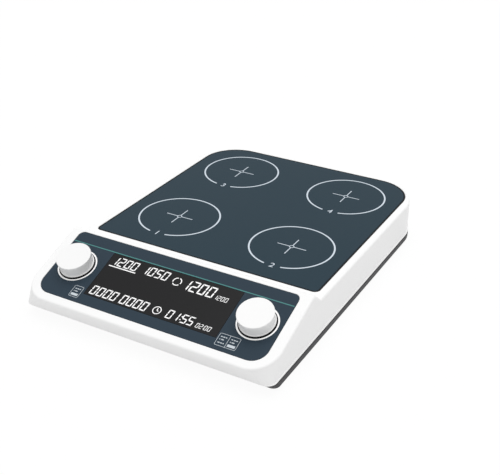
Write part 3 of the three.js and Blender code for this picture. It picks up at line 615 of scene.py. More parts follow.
def baked(piece):
    """Puts the piece's modifiers into its mesh."""
    bpy.context.view_layer.update()
    whole = piece.evaluated_get(bpy.context.evaluated_depsgraph_get())
    mesh = bpy.data.meshes.new_from_object(whole)
    piece.modifiers.clear()
    piece.data = mesh
    mesh.name = piece.name


def carved(piece, cutters):
    """Takes the cutters out of the piece, and removes them."""
    for cutter in cutters:
        cut = piece.modifiers.new(cutter.name, "BOOLEAN")
        cut.operation = "DIFFERENCE"
        cut.solver = "EXACT"
        cut.object = cutter
    baked(piece)
    for cutter in cutters:
        bpy.data.objects.remove(cutter)


def coated(piece, material):
    """Gives the whole piece one material."""
    piece.data.materials.clear()
    piece.data.materials.append(material)


def dressed(piece, body, material):
    """Smooth shading, material, and the body that the piece moves with."""
    coated(piece, material)
    piece.data.shade_smooth()
    piece.data.set_sharp_from_angle(angle=SHARP_FROM)
    weighing = piece.modifiers.new("Weighted Normals", "WEIGHTED_NORMAL")
    weighing.keep_sharp = True
    baked(piece)
    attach(piece, body)


def stand_in(piece, body, node, slot):
    """Dresses a piece that takes the place of a CAD node."""
    dressed(piece, body, surface(slot))
    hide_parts(node)


def printed(bm, name, shade, matrix=Matrix()):
    """Makes a printed piece on the base, in one shade of ink."""
    dressed(new_object(bm, name, matrix), "base", print_ink(shade))


# Node groups and materials

def set_inputs(node, **values):
    """Sets a node's inputs by name, with _ in place of a space."""
    for socket, value in values.items():
        node.inputs[socket.replace("_", " ")].default_value = value


def new_node(tree, kind, **values):
    """A new shader node with its inputs set."""
    made = tree.nodes.new(f"ShaderNode{kind}")
    set_inputs(made, **values)
    return made


def wired(tree, *wires):
    """Links nodes: a wire is a node, its output, the next node and its input."""
    for source, output, target, entry in wires:
        tree.links.new(source.outputs[output], target.inputs[entry])


def pattern_group(name, **inputs):
    """A new node group with named inputs, which puts out a height and a cloudy mask."""
    tree = bpy.data.node_groups.new(name, "ShaderNodeTree")
    kind = "NodeSocketFloat"
    for socket, value in inputs.items():
        label = socket.replace("_", " ")
        made = tree.interface.new_socket(name=label, in_out="INPUT", socket_type=kind)
        made.default_value = value
    for label in ("Height", "Cloud"):
        tree.interface.new_socket(name=label, in_out="OUTPUT", socket_type=kind)
    return tree, tree.nodes.new("NodeGroupInput"), tree.nodes.new("NodeGroupOutput")


def grain_group():
    """Fine moulded grain for the bump, and a soft cloudy mask for tone and gloss."""
    name = "Moulded Grain"
    if name in bpy.data.node_groups:
        return bpy.data.node_groups[name]
    tree, start, end = pattern_group(name, Grain_Scale=2500, Cloud_Scale=18)
    where = new_node(tree, "TexCoord")
    for scale, detail, output in (("Grain Scale", 3, "Height"), ("Cloud Scale", 4, "Cloud")):
        noise = new_node(tree, "TexNoise", Detail=detail)
        wired(
            tree,
            (where, "Object", noise, "Vector"),
            (start, scale, noise, "Scale"),
            (noise, "Fac", end, output),
        )
    return tree


def brushed_group():
    """Drawn lines of sheet metal along X, for the bump and as a mask."""
    name = "Brushed Lines"
    if name in bpy.data.node_groups:
        return bpy.data.node_groups[name]
    tree, start, end = pattern_group(name, Stretch=40, Line_Scale=1800)
    where, split = new_node(tree, "TexCoord"), new_node(tree, "SeparateXYZ")
    squeeze, joined = new_node(tree, "Math"), new_node(tree, "CombineXYZ")
    squeeze.operation = "DIVIDE"
    lines = new_node(tree, "TexNoise", Detail=2)
    wired(
        tree,
        (where, "Object", split, "Vector"),
        (split, "X", squeeze, 0),
        (start, "Stretch", squeeze, 1),
        (squeeze, "Value", joined, "X"),
        (split, "Y", joined, "Y"),
        (split, "Z", joined, "Z"),
        (joined, "Vector", lines, "Vector"),
        (start, "Line Scale", lines, "Scale"),
        (lines, "Fac", end, "Height"),
        (lines, "Fac", end, "Cloud"),
    )
    return tree


Look = namedtuple(
    "Look", "roughness metallic specular tone gloss_change bump grain cloud", defaults=(2500, 18)
)
RUBBER = "matte_rubber", "rubber", Look(0.78, 0, 0.25, 0.08, 0.06, 0.4, 1400)
INNER_BLACK = "inner_black", "black", Look(0.5, 0, 0.4, 0.06, 0.06, 0.2, 2200)
INK = Look(0.55, 0, 0.2, 0.01, 0.03, 0.05, 5000)
METAL = Look(0.35, 1, 0.5, 0.04, 0.07, 0.15)

# Name, colour and look of the material of each slot in the record
SURFACES = {
    "white_plastic": ("satin_white", "housing", Look(0.42, 0, 0.35, 0.004, 0.04, 0.05)),
    "knob_plastic": ("knob_white", "knob", Look(0.34, 0, 0.35, 0.003, 0.03, 0.03)),
    "tray_plastic": ("grained_grey", "tray", Look(0.6, 0, 0.3, 0.05, 0.05, 0.25, 1800)),
    "plate_plastic": ("slate", "plate", Look(0.5, 0, 0.06, 0.03, 0.05, 0.06, 4000, 9)),
    "overlay_film": ("slate_film", "overlay", Look(0.48, 0, 0.06, 0.03, 0.05, 0.1, 3500, 12)),
    "smoked_window": ("smoked_glass", "window", Look(0.22, 0, 0.06, 0.03, 0.03, 0.01, cloud=7)),
    "seal_rubber": RUBBER,
    "foot_rubber": RUBBER,
    "display_black": INNER_BLACK,
    "black_plastic": INNER_BLACK,
    "carrier_plastic": INNER_BLACK,
    "board_green": ("solder_mask", "board", Look(0.35, 0, 0.5, 0.05, 0.05, 0.1)),
    "screw_steel": ("zinc_steel", "zinc", METAL),
    "bridge_aluminium": ("drawn_aluminium", "aluminium", METAL._replace(roughness=0.4)),
    "motor_steel": ("motor_case", "steel", METAL._replace(roughness=0.38)),
    "magnet_nickel": ("bright_nickel", "nickel", METAL._replace(roughness=0.22)),
}


def finish(name, tint, look):
    """A material whose tone, gloss and bump follow one of the node groups."""
    made = bpy.data.materials.new(name)
    made.use_nodes = True
    made.diffuse_color = (*tint, 1)
    tree = made.node_tree
    shader = tree.nodes["Principled BSDF"]
    set_inputs(shader, Metallic=look.metallic, Specular_IOR_Level=look.specular)
    source = new_node(tree, "Group")
    if look.metallic:
        source.node_tree = brushed_group()
    else:
        source.node_tree = grain_group()
        set_inputs(source, Grain_Scale=look.grain, Cloud_Scale=look.cloud)
    tone = new_node(tree, "Mix")
    tone.data_type = "RGBA"
    darker = [c * (1 - look.tone) for c in tint]
    lighter = [min(1, c * (1 + look.tone)) for c in tint]
    set_inputs(tone, A=(*darker, 1), B=(*lighter, 1))
    glossiest, dullest = look.roughness - look.gloss_change, look.roughness + look.gloss_change
    gloss = new_node(tree, "MapRange", To_Min=glossiest, To_Max=dullest)
    bump = new_node(tree, "Bump", Strength=look.bump, Distance=BUMP_DEPTH)
    wired(
        tree,
        (source, "Cloud", tone, "Factor"),
        (source, "Cloud", gloss, "Value"),
        (source, "Height", bump, "Height"),
        (tone, "Result", shader, "Base Color"),
        (gloss, "Result", shader, "Roughness"),
        (bump, "Normal", shader, "Normal"),
    )
    return made


def surface(slot):
    """The material of a slot, made at its first use."""
    name, tint, look = SURFACES[slot]
    if name in bpy.data.materials:
        return bpy.data.materials[name]
    made = finish(name, getattr(settings().finishes, tint), look)
    if slot == "board_green":
        add_tracks(made.node_tree)
    return made


def print_ink(shade):
    """Printing ink in one shade; the white one glows a little, the display's own light on its figures and painted
    light on the knob rings, and the black one is painted shade under the knobs.
    """
    name = f"{shade}_ink"
    if name in bpy.data.materials:
        return bpy.data.materials[name]
    colours = settings().finishes
    tint = getattr(colours, f"{shade}_print")
    # The white ink's glow: the display's own light on its figures, painted light on the knob rings in the knobs'
    # shade
    glow = colours.print_glow if shade == "white" else 0
    made = finish(name, tint, INK)
    shader = made.node_tree.nodes["Principled BSDF"]
    set_inputs(shader, Emission_Color=(*tint, 1), Emission_Strength=glow)
    return made


def add_tracks(tree):
    """Copper tracks that show through a board's solder mask."""
    black, white = (0, 0, 0, 1), (1, 1, 1, 1)
    shader = tree.nodes["Principled BSDF"]
    under = shader.inputs["Base Color"].links[0].from_node
    where = new_node(tree, "TexCoord")
    tracks = new_node(tree, "TexBrick", Scale=TRACK_SCALE, Mortar_Size=TRACK_WIDTH)
    set_inputs(tracks, Color1=black, Color2=black, Mortar=white)
    over = new_node(tree, "Mix")
    over.data_type = "RGBA"
    set_inputs(over, B=(*settings().finishes.copper, 1))
    wired(
        tree,
        (where, "Object", tracks, "Vector"),
        (tracks, "Color", over, "Factor"),
        (under, "Result", over, "A"),
        (over, "Result", shader, "Base Color"),
    )


# Housing

def housing_outlines(form, shrink):
    """The walls' plan outlines at the console's rim and at the lower edge."""
    sizes = form.sizes
    front = form.ridge.y - (sizes.panel_length - shrink) * math.cos(form.tilt)
    height = form.panel_height(front) - shrink
    inset = sizes.foot_lip + shrink
    half, back, back_corner = form.half - inset, form.back - inset, sizes.back_corner - inset
    rim = Outline(half, front, back, sizes.rim_corner - shrink, back_corner)
    foot_front = front + (height - form.foot) * math.tan(form.tilt)
    return rim, Outline(half, foot_front, back, sizes.foot_corner - inset, back_corner)


def foot_levels(form, foot):
    """Outlines and heights of the small lip round the lower edge, from the foot upwards."""
    sizes = form.sizes
    lip = shrunk(foot, -sizes.foot_lip)._replace(front=foot.front - sizes.lip_front)
    forward = sizes.lip_height * math.tan(form.tilt)
    top = form.foot + sizes.lip_height
    return [
        (lip, form.foot),
        (lip._replace(front=lip.front - forward), top),
        (foot._replace(front=foot.front - forward), top),
    ]


def housing_body(form, shrink, bottom, drop_inside):
    """Closed body of the housing, or of its hollow when it is shrunk by the wall."""
    sizes = form.sizes
    rim, foot = housing_outlines(form, shrink)
    radius = max(sizes.edge_round - shrink, sizes.inner_round)
    half_panel = sizes.panel_length / 2
    deepening = drop_inside / (form.ramp_foot - form.ridge.y)

    def at_round(turn):
        inset = radius * (1 - math.sin(turn))
        drop = radius * (1 - math.cos(turn))

        def rule(plan):
            x, y = on_outline(plan, rim, rim, inset)
            lean = form.tilt * min(1, max(0, (form.ridge.y - y) / half_panel))
            past = min(max(0, y - form.ridge.y), form.ramp_foot - form.ridge.y)
            height = form.top(y) - shrink - past * deepening
            return Vector((x, y + drop * math.sin(lean), height - drop * math.cos(lean)))

        return rule

    bm = bmesh.new()
    ring = rounded_face(bm, rim, bottom, stations=form.stations())
    if bottom < form.foot:
        levels = [(foot, bottom), (foot, form.foot)]
    else:
        levels = foot_levels(form, foot)
    rules = [set_out(rim, outline, z) for outline, z in levels]
    for k in range(EDGE_STEPS, -1, -1):
        rules.append(at_round(QUARTER_TURN * k / EDGE_STEPS))
    moved_by_plan(bm, rules[0])
    ring = next_rings(bm, ring, rules[1:])
    sides = [edge for edge in ring if edge.verts[0].co.x * edge.verts[1].co.x > 0]
    bmesh.ops.bridge_loops(bm, edges=sides)
    return bm


def housing_cutters(form):
    """Solids that open the housing: hollow, plate's seat, panel's openings, inlet."""
    sizes = form.sizes
    over, chamfer = sizes.cut_over, sizes.recess_chamfer
    panel = panel_frame()
    deck_drop = form.deck - sizes.wall - sizes.shelf_foot
    hollow = housing_body(form, sizes.wall, form.foot - over, deck_drop)
    recess = shrunk(plate_outline(), -sizes.recess_gap)
    seat = slab(recess, sizes.shelf_top, form.deck, flare=chamfer)
    opening = shrunk(plate_outline(), sizes.shelf_width)
    through = slab(opening, sizes.shelf_foot - over, form.deck)
    film = shrunk(overlay_outline(), -sizes.overlay_gap)
    bed = slab(film, -sizes.overlay_floor, 0, flare=chamfer / 2)
    low, high = panel_box("display_window")
    rest = sizes.window_rest
    corner = rest * WINDOW_CORNER_SHARE
    window = Outline(high.x - rest, low.y + rest, high.y - rest, corner, corner)
    hole = slab(window, -sizes.wall - over, over, WINDOW_CORNER_STEPS)
    low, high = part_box("power_jack")
    start = Vector((0, form.back - sizes.back_corner / 2, (low.z + high.z) / 2))
    lying = Matrix.Translation(start) @ Matrix.Rotation(-QUARTER_TURN, 4, "X")
    inlet = rod(sizes.inlet_hole, 0, sizes.back_corner, INLET_STEPS)
    return [
        new_object(hollow, "hollow"),
        new_object(seat, "plate_seat"),
        new_object(through, "plate_opening"),
        new_object(bed, "overlay_bed", panel),
        new_object(hole, "window_hole", panel),
        *bushing_cutters(-sizes.wall - over),
        new_object(inlet, "inlet_hole", lying),
    ]


def bushing_cutters(low):
    """Rods that open a piece on the panel for the knobs' bushings."""
    sizes = settings().housing
    made = []
    for x in knob_places():
        spot = panel_frame() @ Matrix.Translation((x, 0, 0))
        made.append(new_object(rod(sizes.bushing_hole, low, sizes.cut_over), "bushing_cut", spot))
    return made


def node_outline(box, sizes):
    """Outline of a node's box with the corner radii of its sizes."""
    low, high = box
    return Outline(high.x, low.y, high.y, sizes.front_corner, sizes.back_corner)


def plate_outline():
    """Plan of the work plate."""
    return node_outline(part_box("work_plate"), settings().plate)


def overlay_outline():
    """Outline of the overlay in the panel's own frame."""
    return node_outline(panel_box("control_overlay"), settings().panel)


class STIRRER_OT_housing(bpy.types.Operator):
    """Makes the white housing with its soft edges, the plate's seat and the panel's recess"""

    bl_idname = "stirrer.housing"
    bl_label = "Housing"

    def execute(self, context):
        form = HousingForm()
        piece = new_object(housing_body(form, 0, form.foot, 0), "housing_shell")
        carved(piece, housing_cutters(form))
        stand_in(piece, "base", "top_housing", "white_plastic")
        return {"FINISHED"}


# Tray and feet

def tray_body(form, sizes):
    """Closed tray: undercut front, chamfered edge, shadow seam under the housing, open pan."""
    housing = form.sizes
    foot = housing_outlines(form, 0)[1]
    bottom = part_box("base_tray")[0].z
    top = form.foot - housing.overlay_gap
    front = foot.front + sizes.front_gap
    outer = Outline(form.half, front, form.back, housing.foot_corner, housing.back_corner)
    under = outer._replace(front=front + sizes.undercut, front_corner=sizes.foot_corner)

    def side(z, inset):
        share = (z - bottom) / (top - bottom)

        def rule(plan):
            upper = on_outline(plan, outer, outer, inset)
            lower = on_outline(plan, outer, under, inset)
            return lower.lerp(upper, share).to_3d() + UP * z

        return rule

    bm = bmesh.new()
    ring = rounded_face(bm, outer, bottom)
    seam = top - sizes.seam_height
    levels = [
        (bottom, sizes.lower_edge),
        (bottom + sizes.lower_edge, 0),
        (seam, 0),
        (seam, sizes.seam_depth),
        (top, sizes.seam_depth),
        (top, sizes.wall),
        (bottom + sizes.floor, sizes.wall),
    ]
    rules = [side(z, inset) for z, inset in levels]
    moved_by_plan(bm, rules[0])
    bmesh.ops.contextual_create(bm, geom=next_rings(bm, ring, rules[1:]))
    return bm


def foot_profile(sizes, radius, top, spigot_top):
    """Turned profile of a rubber foot: grooved sole, soft lower edge, spigot into the tray."""
    edge, dish = sizes.foot_edge, sizes.foot_dish
    groove_in, groove_out = (radius * share for share in GROOVE_SHARES)
    spigot = radius * SPIGOT_SHARE
    profile = [
        (0, 0), (groove_in, 0), (groove_in + dish, dish), (groove_out - dish, dish),
        (groove_out, 0),
    ]
    for i in range(SOLE_EDGE_STEPS + 1):
        turn = QUARTER_TURN * i / SOLE_EDGE_STEPS
        profile.append((radius - edge + edge * math.sin(turn), edge - edge * math.cos(turn)))
    return profile + [
        (radius, top - edge / 2), (radius - edge / 2, top), (spigot, top), (spigot, spigot_top),
        (0, spigot_top),
    ]


class STIRRER_OT_tray(bpy.types.Operator):
    """Makes the grey tray with its shadow seam and the four rubber feet"""

    bl_idname = "stirrer.tray"
    bl_label = "Tray and Feet"

    def execute(self, context):
        sizes, form = settings().tray, HousingForm()
        cutters = []
        for i in range(1, 5):
            recess = rod(sizes.recess_round, 0, form.foot)
            spot = upright_over(f"housing_screw_{i}")
            cutters.append(new_object(recess, "screw_recess", spot))
        piece = new_object(tray_body(form, sizes), "tray")
        carved(piece, cutters)
        stand_in(piece, "base", "base_tray", "tray_plastic")
        foot_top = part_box("base_tray")[0].z - form.sizes.overlay_gap
        for name in ("front_left", "front_right", "back_left", "back_right"):
            node = f"foot_{name}"
            low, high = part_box(node)
            profile = foot_profile(sizes, (high.x - low.x) / 2, foot_top, high.z)
            foot = new_object(turned(profile, FOOT_STEPS), f"rubber_{node}", upright_over(node))
            stand_in(foot, "base", node, "foot_rubber")
        return {"FINISHED"}


# Work plate

def plate_seal(sizes, outline, deck, thickness):
    """Closed rubber ring of L section round and under the plate."""
    gap, reach = sizes.seal_gap, sizes.seal_reach
    outside = -gap - sizes.seal_wall
    bed = deck - thickness - gap
    foot = bed - sizes.seal_sole
    section = [
        (outside, foot), (outside, deck), (-gap, deck), (-gap, bed), (reach, bed), (reach, foot)
    ]
    rules = [set_out(outline, shrunk(outline, inset), z) for inset, z in section]
    return closed_band(outline, rules)


def numeral(text, height):
    """Flat printed numeral, centred on its own middle, on z = 0."""
    data = bpy.data.curves.new("numeral", "FONT")
    data.body = text
    data.extrude = 1
    holder = bpy.data.objects.new("numeral", data)
    bpy.context.scene.collection.objects.link(holder)
    bpy.context.view_layer.update()
    whole = holder.evaluated_get(bpy.context.evaluated_depsgraph_get())
    mesh = bpy.data.meshes.new_from_object(whole)
    bm = bmesh.new()
    bm.from_mesh(mesh)
    bmesh.ops.remove_doubles(bm, verts=bm.verts, dist=SAME_GLYPH_POINT)
    xs = [vert.co.x for vert in bm.verts]
    ys = [vert.co.y for vert in bm.verts]
    scale = height / (max(ys) - min(ys))
    middle = Vector(((max(xs) + min(xs)) / 2, (max(ys) + min(ys)) / 2, -1))
    bmesh.ops.translate(bm, verts=bm.verts, vec=-middle)
    bmesh.ops.scale(bm, verts=bm.verts, vec=(scale, scale, PRINT_RISE / 2))
    bpy.data.objects.remove(holder)
    bpy.data.curves.remove(data)
    bpy.data.meshes.remove(mesh)
    return bm


def position_print(sizes, middle, text, low):
    """Printed ring with its gap, cross with its small eye, and number."""
    bm = bmesh.new()
    start, sweep = sizes.ring_gap / 2 - QUARTER_TURN, WHOLE_TURN - sizes.ring_gap
    arc(bm, middle, sizes.ring_radius, sizes.ring_line, RING_STEPS, start, sweep, low)
    arc(bm, middle, sizes.eye_radius, sizes.eye_line, EYE_STEPS, low=low)
    near = sizes.eye_radius + sizes.eye_line / 2
    for k in range(4):
        ray = Vector((math.cos(k * QUARTER_TURN), math.sin(k * QUARTER_TURN)))
        start, end = (middle.xy + ray * reach for reach in (near, sizes.arm_reach))
        bar(bm, start, end, sizes.arm_line, low)
    spot = Matrix.Translation((middle.x, middle.y - sizes.digit_place, low))
    add_mesh(bm, numeral(text, sizes.digit_height), spot)
    return bm


class STIRRER_OT_plate(bpy.types.Operator):
    """Makes the slate work plate, its seal and the printed stirring positions"""

    bl_idname = "stirrer.plate"
    bl_label = "Work Plate"

    def execute(self, context):
        sizes, outline = settings().plate, plate_outline()
        low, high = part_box("work_plate")
        plate = slab(outline, low.z, high.z, edge=sizes.edge)
        stand_in(new_object(plate, "slate_plate"), "base", "work_plate", "plate_plastic")
        seal = plate_seal(sizes, outline, high.z, high.z - low.z)
        stand_in(new_object(seal, "plate_seal"), "base", "plate_gasket", "seal_rubber")
        for i in range(1, 5):
            middle = Vector(joint(f"stir_{i}")["pos_m"])
            marks = position_print(sizes, middle, str(i), high.z)
            printed(marks, f"position_print_{i}", "plate")
        return {"FINISHED"}


# Console: overlay and print

# Rows of dashes in a key box: height and thickness as shares of the box's height, then each
# dash's start and end as shares of a cell's width
PLAIN_ROWS = [
    (0.24, 0.07, [(0.2, 0.36), (0.42, 0.6), (0.66, 0.8)]),
    (0.02, 0.07, [(0.2, 0.28), (0.36, 0.62)]),
]
FILLED_ROW = (-0.27, 0.2, [(0.14, 0.86)])
DOTTED_ROW = (-0.25, 0.07, [(0.2, 0.4), (0.46, 0.62), (0.68, 0.8)])


def key_cell(bm, sizes, left, middle_y, rows):
    """Rows of short dashes in one cell of a key box."""
    for height_share, thickness_share, dashes in rows:
        y = middle_y + height_share * sizes.cell_height
        for dash in dashes:
            start, end = ((left + share * sizes.cell_width, y) for share in dash)
            bar(bm, start, end, thickness_share * sizes.cell_height)


def key_boxes(sizes, half_window):
    """Small printed boxes under the display: one cell on the left, two joined on the right."""
    bm = bmesh.new()
    middle_y = settings().housing.knob_line - sizes.box_place
    half_height = sizes.cell_height / 2
    line, corner = sizes.box_line, sizes.box_corner
    left = -half_window - sizes.box_inset - sizes.cell_width
    right = half_window + sizes.pair_inset
    for start, cells in ((left, 1), (right, 2)):
        half = cells * sizes.cell_width / 2
        outline = Outline(half, -half_height, half_height, corner, corner)
        section = (0, 0), (0, PRINT_RISE), (line, PRINT_RISE), (line, 0)
        rules = [set_out(outline, outline, z, inset) for inset, z in section]
        box = closed_band(outline, rules, BOX_CORNER_STEPS)
        add_mesh(bm, box, Matrix.Translation((start + half, middle_y, 0)))
    divider = right + sizes.cell_width
    inner = half_height - line
    bar(bm, (divider, middle_y - inner), (divider, middle_y + inner), line)
    for start, last_row in ((left, FILLED_ROW), (right, DOTTED_ROW), (divider, FILLED_ROW)):
        key_cell(bm, sizes, start, middle_y, [*PLAIN_ROWS, last_row])
    return bm


def knob_rings(radius, width):
    """A flat ring round each knob's middle, for the white print and for the black painted shade."""
    bm = bmesh.new()
    for x in knob_places():
        arc(bm, (x, 0), radius, width, KNOB_STEPS)
    return bm


class STIRRER_OT_console(bpy.types.Operator):
    """Makes the slate overlay with its white and coloured print, and a black ring of painted shade under each knob
    """

    bl_idname = "stirrer.console"
    bl_label = "Console Overlay"

    def execute(self, context):
        sizes, housing = settings().panel, settings().housing
        panel = panel_frame()
        low, high = panel_box("control_overlay")
        film = slab(overlay_outline(), low.z, 0, edge=sizes.edge)
        piece = new_object(film, "slate_overlay", panel)
        window_low, window_high = panel_box("display_window")
        gap, over = sizes.window_gap, housing.cut_over
        frame_in = Outline(window_high.x + gap, window_low.y - gap, window_high.y + gap, gap, gap)
        opening = slab(frame_in, -over, over, OPENING_CORNER_STEPS)
        carved(piece, [new_object(opening, "window_cut", panel), *bushing_cutters(-over)])
        stand_in(piece, "base", "control_overlay", "overlay_film")
        line_y = housing.knob_line - sizes.line_place
        reach = high.x - sizes.edge * LINE_END_EDGES
        line = bmesh.new()
        bar(line, (-reach, line_y), (reach, line_y), sizes.line_width)
        printed(line, "coloured_line", "teal", panel)
        printed(key_boxes(sizes, window_high.x), "key_print", "key", panel)
        # White printed rings round the knobs; their ink's glow is painted light
        white = knob_rings(sizes.ring_radius, sizes.ring_line)
        printed(white, "knob_rings", "white", panel)
        # Black rings under the knobs: painted shade in the gap between each knob and its white ring
        width = sizes.gap_ring_outer - sizes.gap_ring_inner
        black = knob_rings(sizes.gap_ring_inner + width / 2, width)
        printed(black, "knob_gap_rings", "black", panel)
        return {"FINISHED"}


# Display figures

# Strokes of each figure: a on top, b to f clockwise after it, and g in the middle
STROKES = {
    "0": "abcdef", "1": "bc", "2": "abdeg", "3": "abcdg", "4": "bcfg",
    "5": "acdfg", "6": "acdefg", "7": "abc", "8": "abcdefg", "9": "abcdfg",
}

# In metres; the colon is the room that one takes
FigureSize = namedtuple("FigureSize", "height width pitch colon")
MEDIUM = FigureSize(0.0098, 0.0057, 0.00716, 0)
LARGE = FigureSize(0.0116, 0.0067, 0.0084, 0)
CLOCK = FigureSize(0.0092, 0.0054, 0.0062, 0.0029)
SMALL = FigureSize(0.0048, 0.00265, 0.00352, 0.0017)

# Heights of a colon's dots as shares of a figure's height, and how far it stands back as a
# share of a figure's width
COLON_DOTS = 0.3, 0.66
COLON_BACK = 0.04

# Text, size, and where its right end and its foot are, as shares of the window's width and height
FIGURE_GROUPS = [
    ("1200", MEDIUM, 0.229, 0.2485),
    ("1050", MEDIUM, 0.472, 0.2485),
    ("1200", LARGE, 0.830, 0.3075),
    ("1200", SMALL, 0.934, 0.3075),
    ("0000", MEDIUM, 0.238, 0.9620),
    ("0000", MEDIUM, 0.474, 0.9620),
    ("01:55", CLOCK, 0.816, 0.9480),
    ("02:00", SMALL, 0.944, 0.9420),
]
UNDERLINE_PLACES = (0.023, 0.281), (0.235, 0.281)
SPEED_SIGN_PLACE = 0.542, 0.190
CLOCK_SIGN_PLACE = 0.542, 0.861


def stroke_points(stroke, width, height, line, gap):
    """Outline of one stroke of a seven-stroke figure."""
    middle, half = height / 2, line / 2
    if stroke == "g":
        start, end = half + gap, width - half - gap
        return [
            (start, middle), (line, middle + half), (width - line, middle + half),
            (end, middle), (width - line, middle - half), (line, middle - half),
        ]
    if stroke in "ad":
        points = [
            (gap, height), (width - gap, height), (width - line - gap, height - line),
            (line + gap, height - line),
        ]
    else:
        points = [
            (0, height - gap), (line, height - line - gap), (line, middle + half),
            (half, middle + gap / 2), (0, middle + half),
        ]
    if stroke in "cde":
        points = [(x, height - y) for x, y in points]
    if stroke in "bc":
        points = [(width - x, y) for x, y in points]
    return points


def add_figures(bm, sizes, text, size, right, foot):
    """Leaning seven-stroke figures that end at the right."""
    line = sizes.stroke_share * size.width
    gap = sizes.gap_share * line
    for sign in reversed(text):
        if sign == ":":
            right -= size.colon - (size.pitch - size.width)
            for share in COLON_DOTS:
                lean = sizes.slope * share * size.height
                x = right + size.colon / 2 + lean - size.width * COLON_BACK
                y = foot + share * size.height
                bar(bm, (x - line / 2, y), (x + line / 2, y), line)
            continue
        left = right - size.width
        for stroke in STROKES[sign]:
            points = stroke_points(stroke, size.width, size.height, line, gap)
            leaning = [(left + x + sizes.slope * (y - size.height), foot + y) for x, y in points]
            tile(bm, leaning)
        right -= size.pitch


def add_speed_sign(bm, sizes, middle):
    """Broken ring that stands for turning."""
    radius, line, third = sizes.sign_radius, sizes.sign_line, WHOLE_TURN / 3
    for k in range(3):
        start = SPEED_SIGN_START + k * third
        sweep = third - SPEED_SIGN_GAP
        arc(bm, middle, radius, line, SPEED_SIGN_STEPS, start, sweep)


def add_clock_sign(bm, sizes, middle):
    """Small clock face."""
    radius = sizes.sign_radius * CLOCK_SIGN_SHARE
    line = sizes.sign_line * CLOCK_LINE_SHARE
    arc(bm, middle, radius, line, CLOCK_SIGN_STEPS)
    for x, y in CLOCK_HANDS:
        bar(bm, middle, Vector(middle) + Vector((radius * x, radius * y)), line)


class STIRRER_OT_display(bpy.types.Operator):
    """Makes the figures and signs of the display"""

    bl_idname = "stirrer.display"
    bl_label = "Display Figures"

    def execute(self, context):
        sizes = settings().figures
        low, high = panel_box("display_window")

        def spot(across, down):
            return low.x + across * (high.x - low.x), high.y - down * (high.y - low.y)

        bm = bmesh.new()
        for text, size, across, down in FIGURE_GROUPS:
            add_figures(bm, sizes, text, size, *spot(across, down))
        bar(bm, *(spot(*shares) for shares in UNDERLINE_PLACES), sizes.underline)
        add_speed_sign(bm, sizes, spot(*SPEED_SIGN_PLACE))
        add_clock_sign(bm, sizes, spot(*CLOCK_SIGN_PLACE))
        printed(bm, "display_figures", "white", panel_frame())
        return {"FINISHED"}


# Knobs

def knob_profile(sizes, foot, top):
    """Turned profile of a hollow cap that narrows to a lip at its foot, with a stem inside."""
    outer = sizes.radius - sizes.taper
    lip, lip_top = outer + sizes.lip_reach, foot + sizes.lip_height
    inner = sizes.radius - sizes.skin
    edge, roof, reach = sizes.lip_round, sizes.roof, sizes.edge_round
    profile = [
        (0, roof), (sizes.shaft_hole, roof), (sizes.shaft_hole, sizes.stem_foot),
        (sizes.stem_radius, sizes.stem_foot), (sizes.stem_radius, roof), (inner, roof),
        (inner, foot), (lip - edge, foot), (lip, foot + edge), (lip, lip_top - edge),
        (lip - edge, lip_top), (outer, lip_top),
    ]
    flat, shoulder = sizes.radius - reach, top - reach
    for i in range(EDGE_STEPS + 1):
        turn = QUARTER_TURN * i / EDGE_STEPS
        profile.append((flat + reach * math.cos(turn), shoulder + reach * math.sin(turn)))
    for radius_share, dish_share in DISH_SHARES:
        profile.append((flat * radius_share, top - sizes.dish * dish_share))
    return profile


class STIRRER_OT_knobs(bpy.types.Operator):
    """Makes the two white knobs, which move with their turning bodies"""

    bl_idname = "stirrer.knobs"
    bl_label = "Knobs"

    def execute(self, context):
        sizes = settings().knob
        for side, x in zip(("left", "right"), knob_places()):
            low, high = panel_box(f"{side}_knob")
            spot = panel_frame() @ Matrix.Translation((x, 0, 0))
            cap = turned(knob_profile(sizes, low.z, high.z), KNOB_STEPS)
            piece = new_object(cap, f"{side}_knob_cap", spot)
            stand_in(piece, f"{side}_turn", f"{side}_knob", "knob_plastic")
        return {"FINISHED"}


# Pieces that keep their CAD shape

class STIRRER_OT_inside(bpy.types.Operator):
    """Gives the motors, magnets, boards, encoders and screws their finishes"""

    bl_idname = "stirrer.inside"
    bl_label = "Inside Finishes"

    def execute(self, context):
        for entry in frame["record"]["subparts"]:
            node = frame["nodes"][entry["node"]]
            if not node.hide_render:
                coated(node, surface(entry["material_slot"]))
        return {"FINISHED"}


# Stage

def new_studio_tree(owner, output):
    """Emptied nodes of a material or the world, with its output and a mix that ends there."""
    owner.use_nodes = True
    tree = owner.node_tree
    tree.nodes.clear()
    out, chosen = new_node(tree, output), new_node(tree, "MixShader")
    wired(tree, (seen_rays(tree), "Value", chosen, 0), (chosen, "Shader", out, "Surface"))
    return tree, chosen


def seen_rays(tree):
    """Node whose value is 1 where the camera looks straight, in a reflection or through glass."""
    ray = new_node(tree, "LightPath")
    past, socket = ray, "Is Camera Ray"
    for name in ("Is Glossy Ray", "Is Transmission Ray"):
        either = new_node(tree, "Math")
        either.operation = "MAXIMUM"
        wired(tree, (past, socket, either, 0), (ray, name, either, 1))
        past, socket = either, "Value"
    return past


def floor_material(stage, tint):
    """Pale floor that the camera sees as white with the object's soft shadow."""
    made = bpy.data.materials.new("floor")
    tree, chosen = new_studio_tree(made, "OutputMaterial")
    matte = new_node(tree, "BsdfDiffuse", Color=(*tint, 1))
    seen = new_node(tree, "BsdfDiffuse", Color=(1, 1, 1, 1))
    glow = new_node(tree, "Emission")
    blend = new_node(tree, "MixShader", Fac=stage.floor_glow)
    wired(
        tree,
        (seen, "BSDF", blend, 1),
        (glow, "Emission", blend, 2),
        (matte, "BSDF", chosen, 1),
        (blend, "Shader", chosen, 2),
    )
    return made


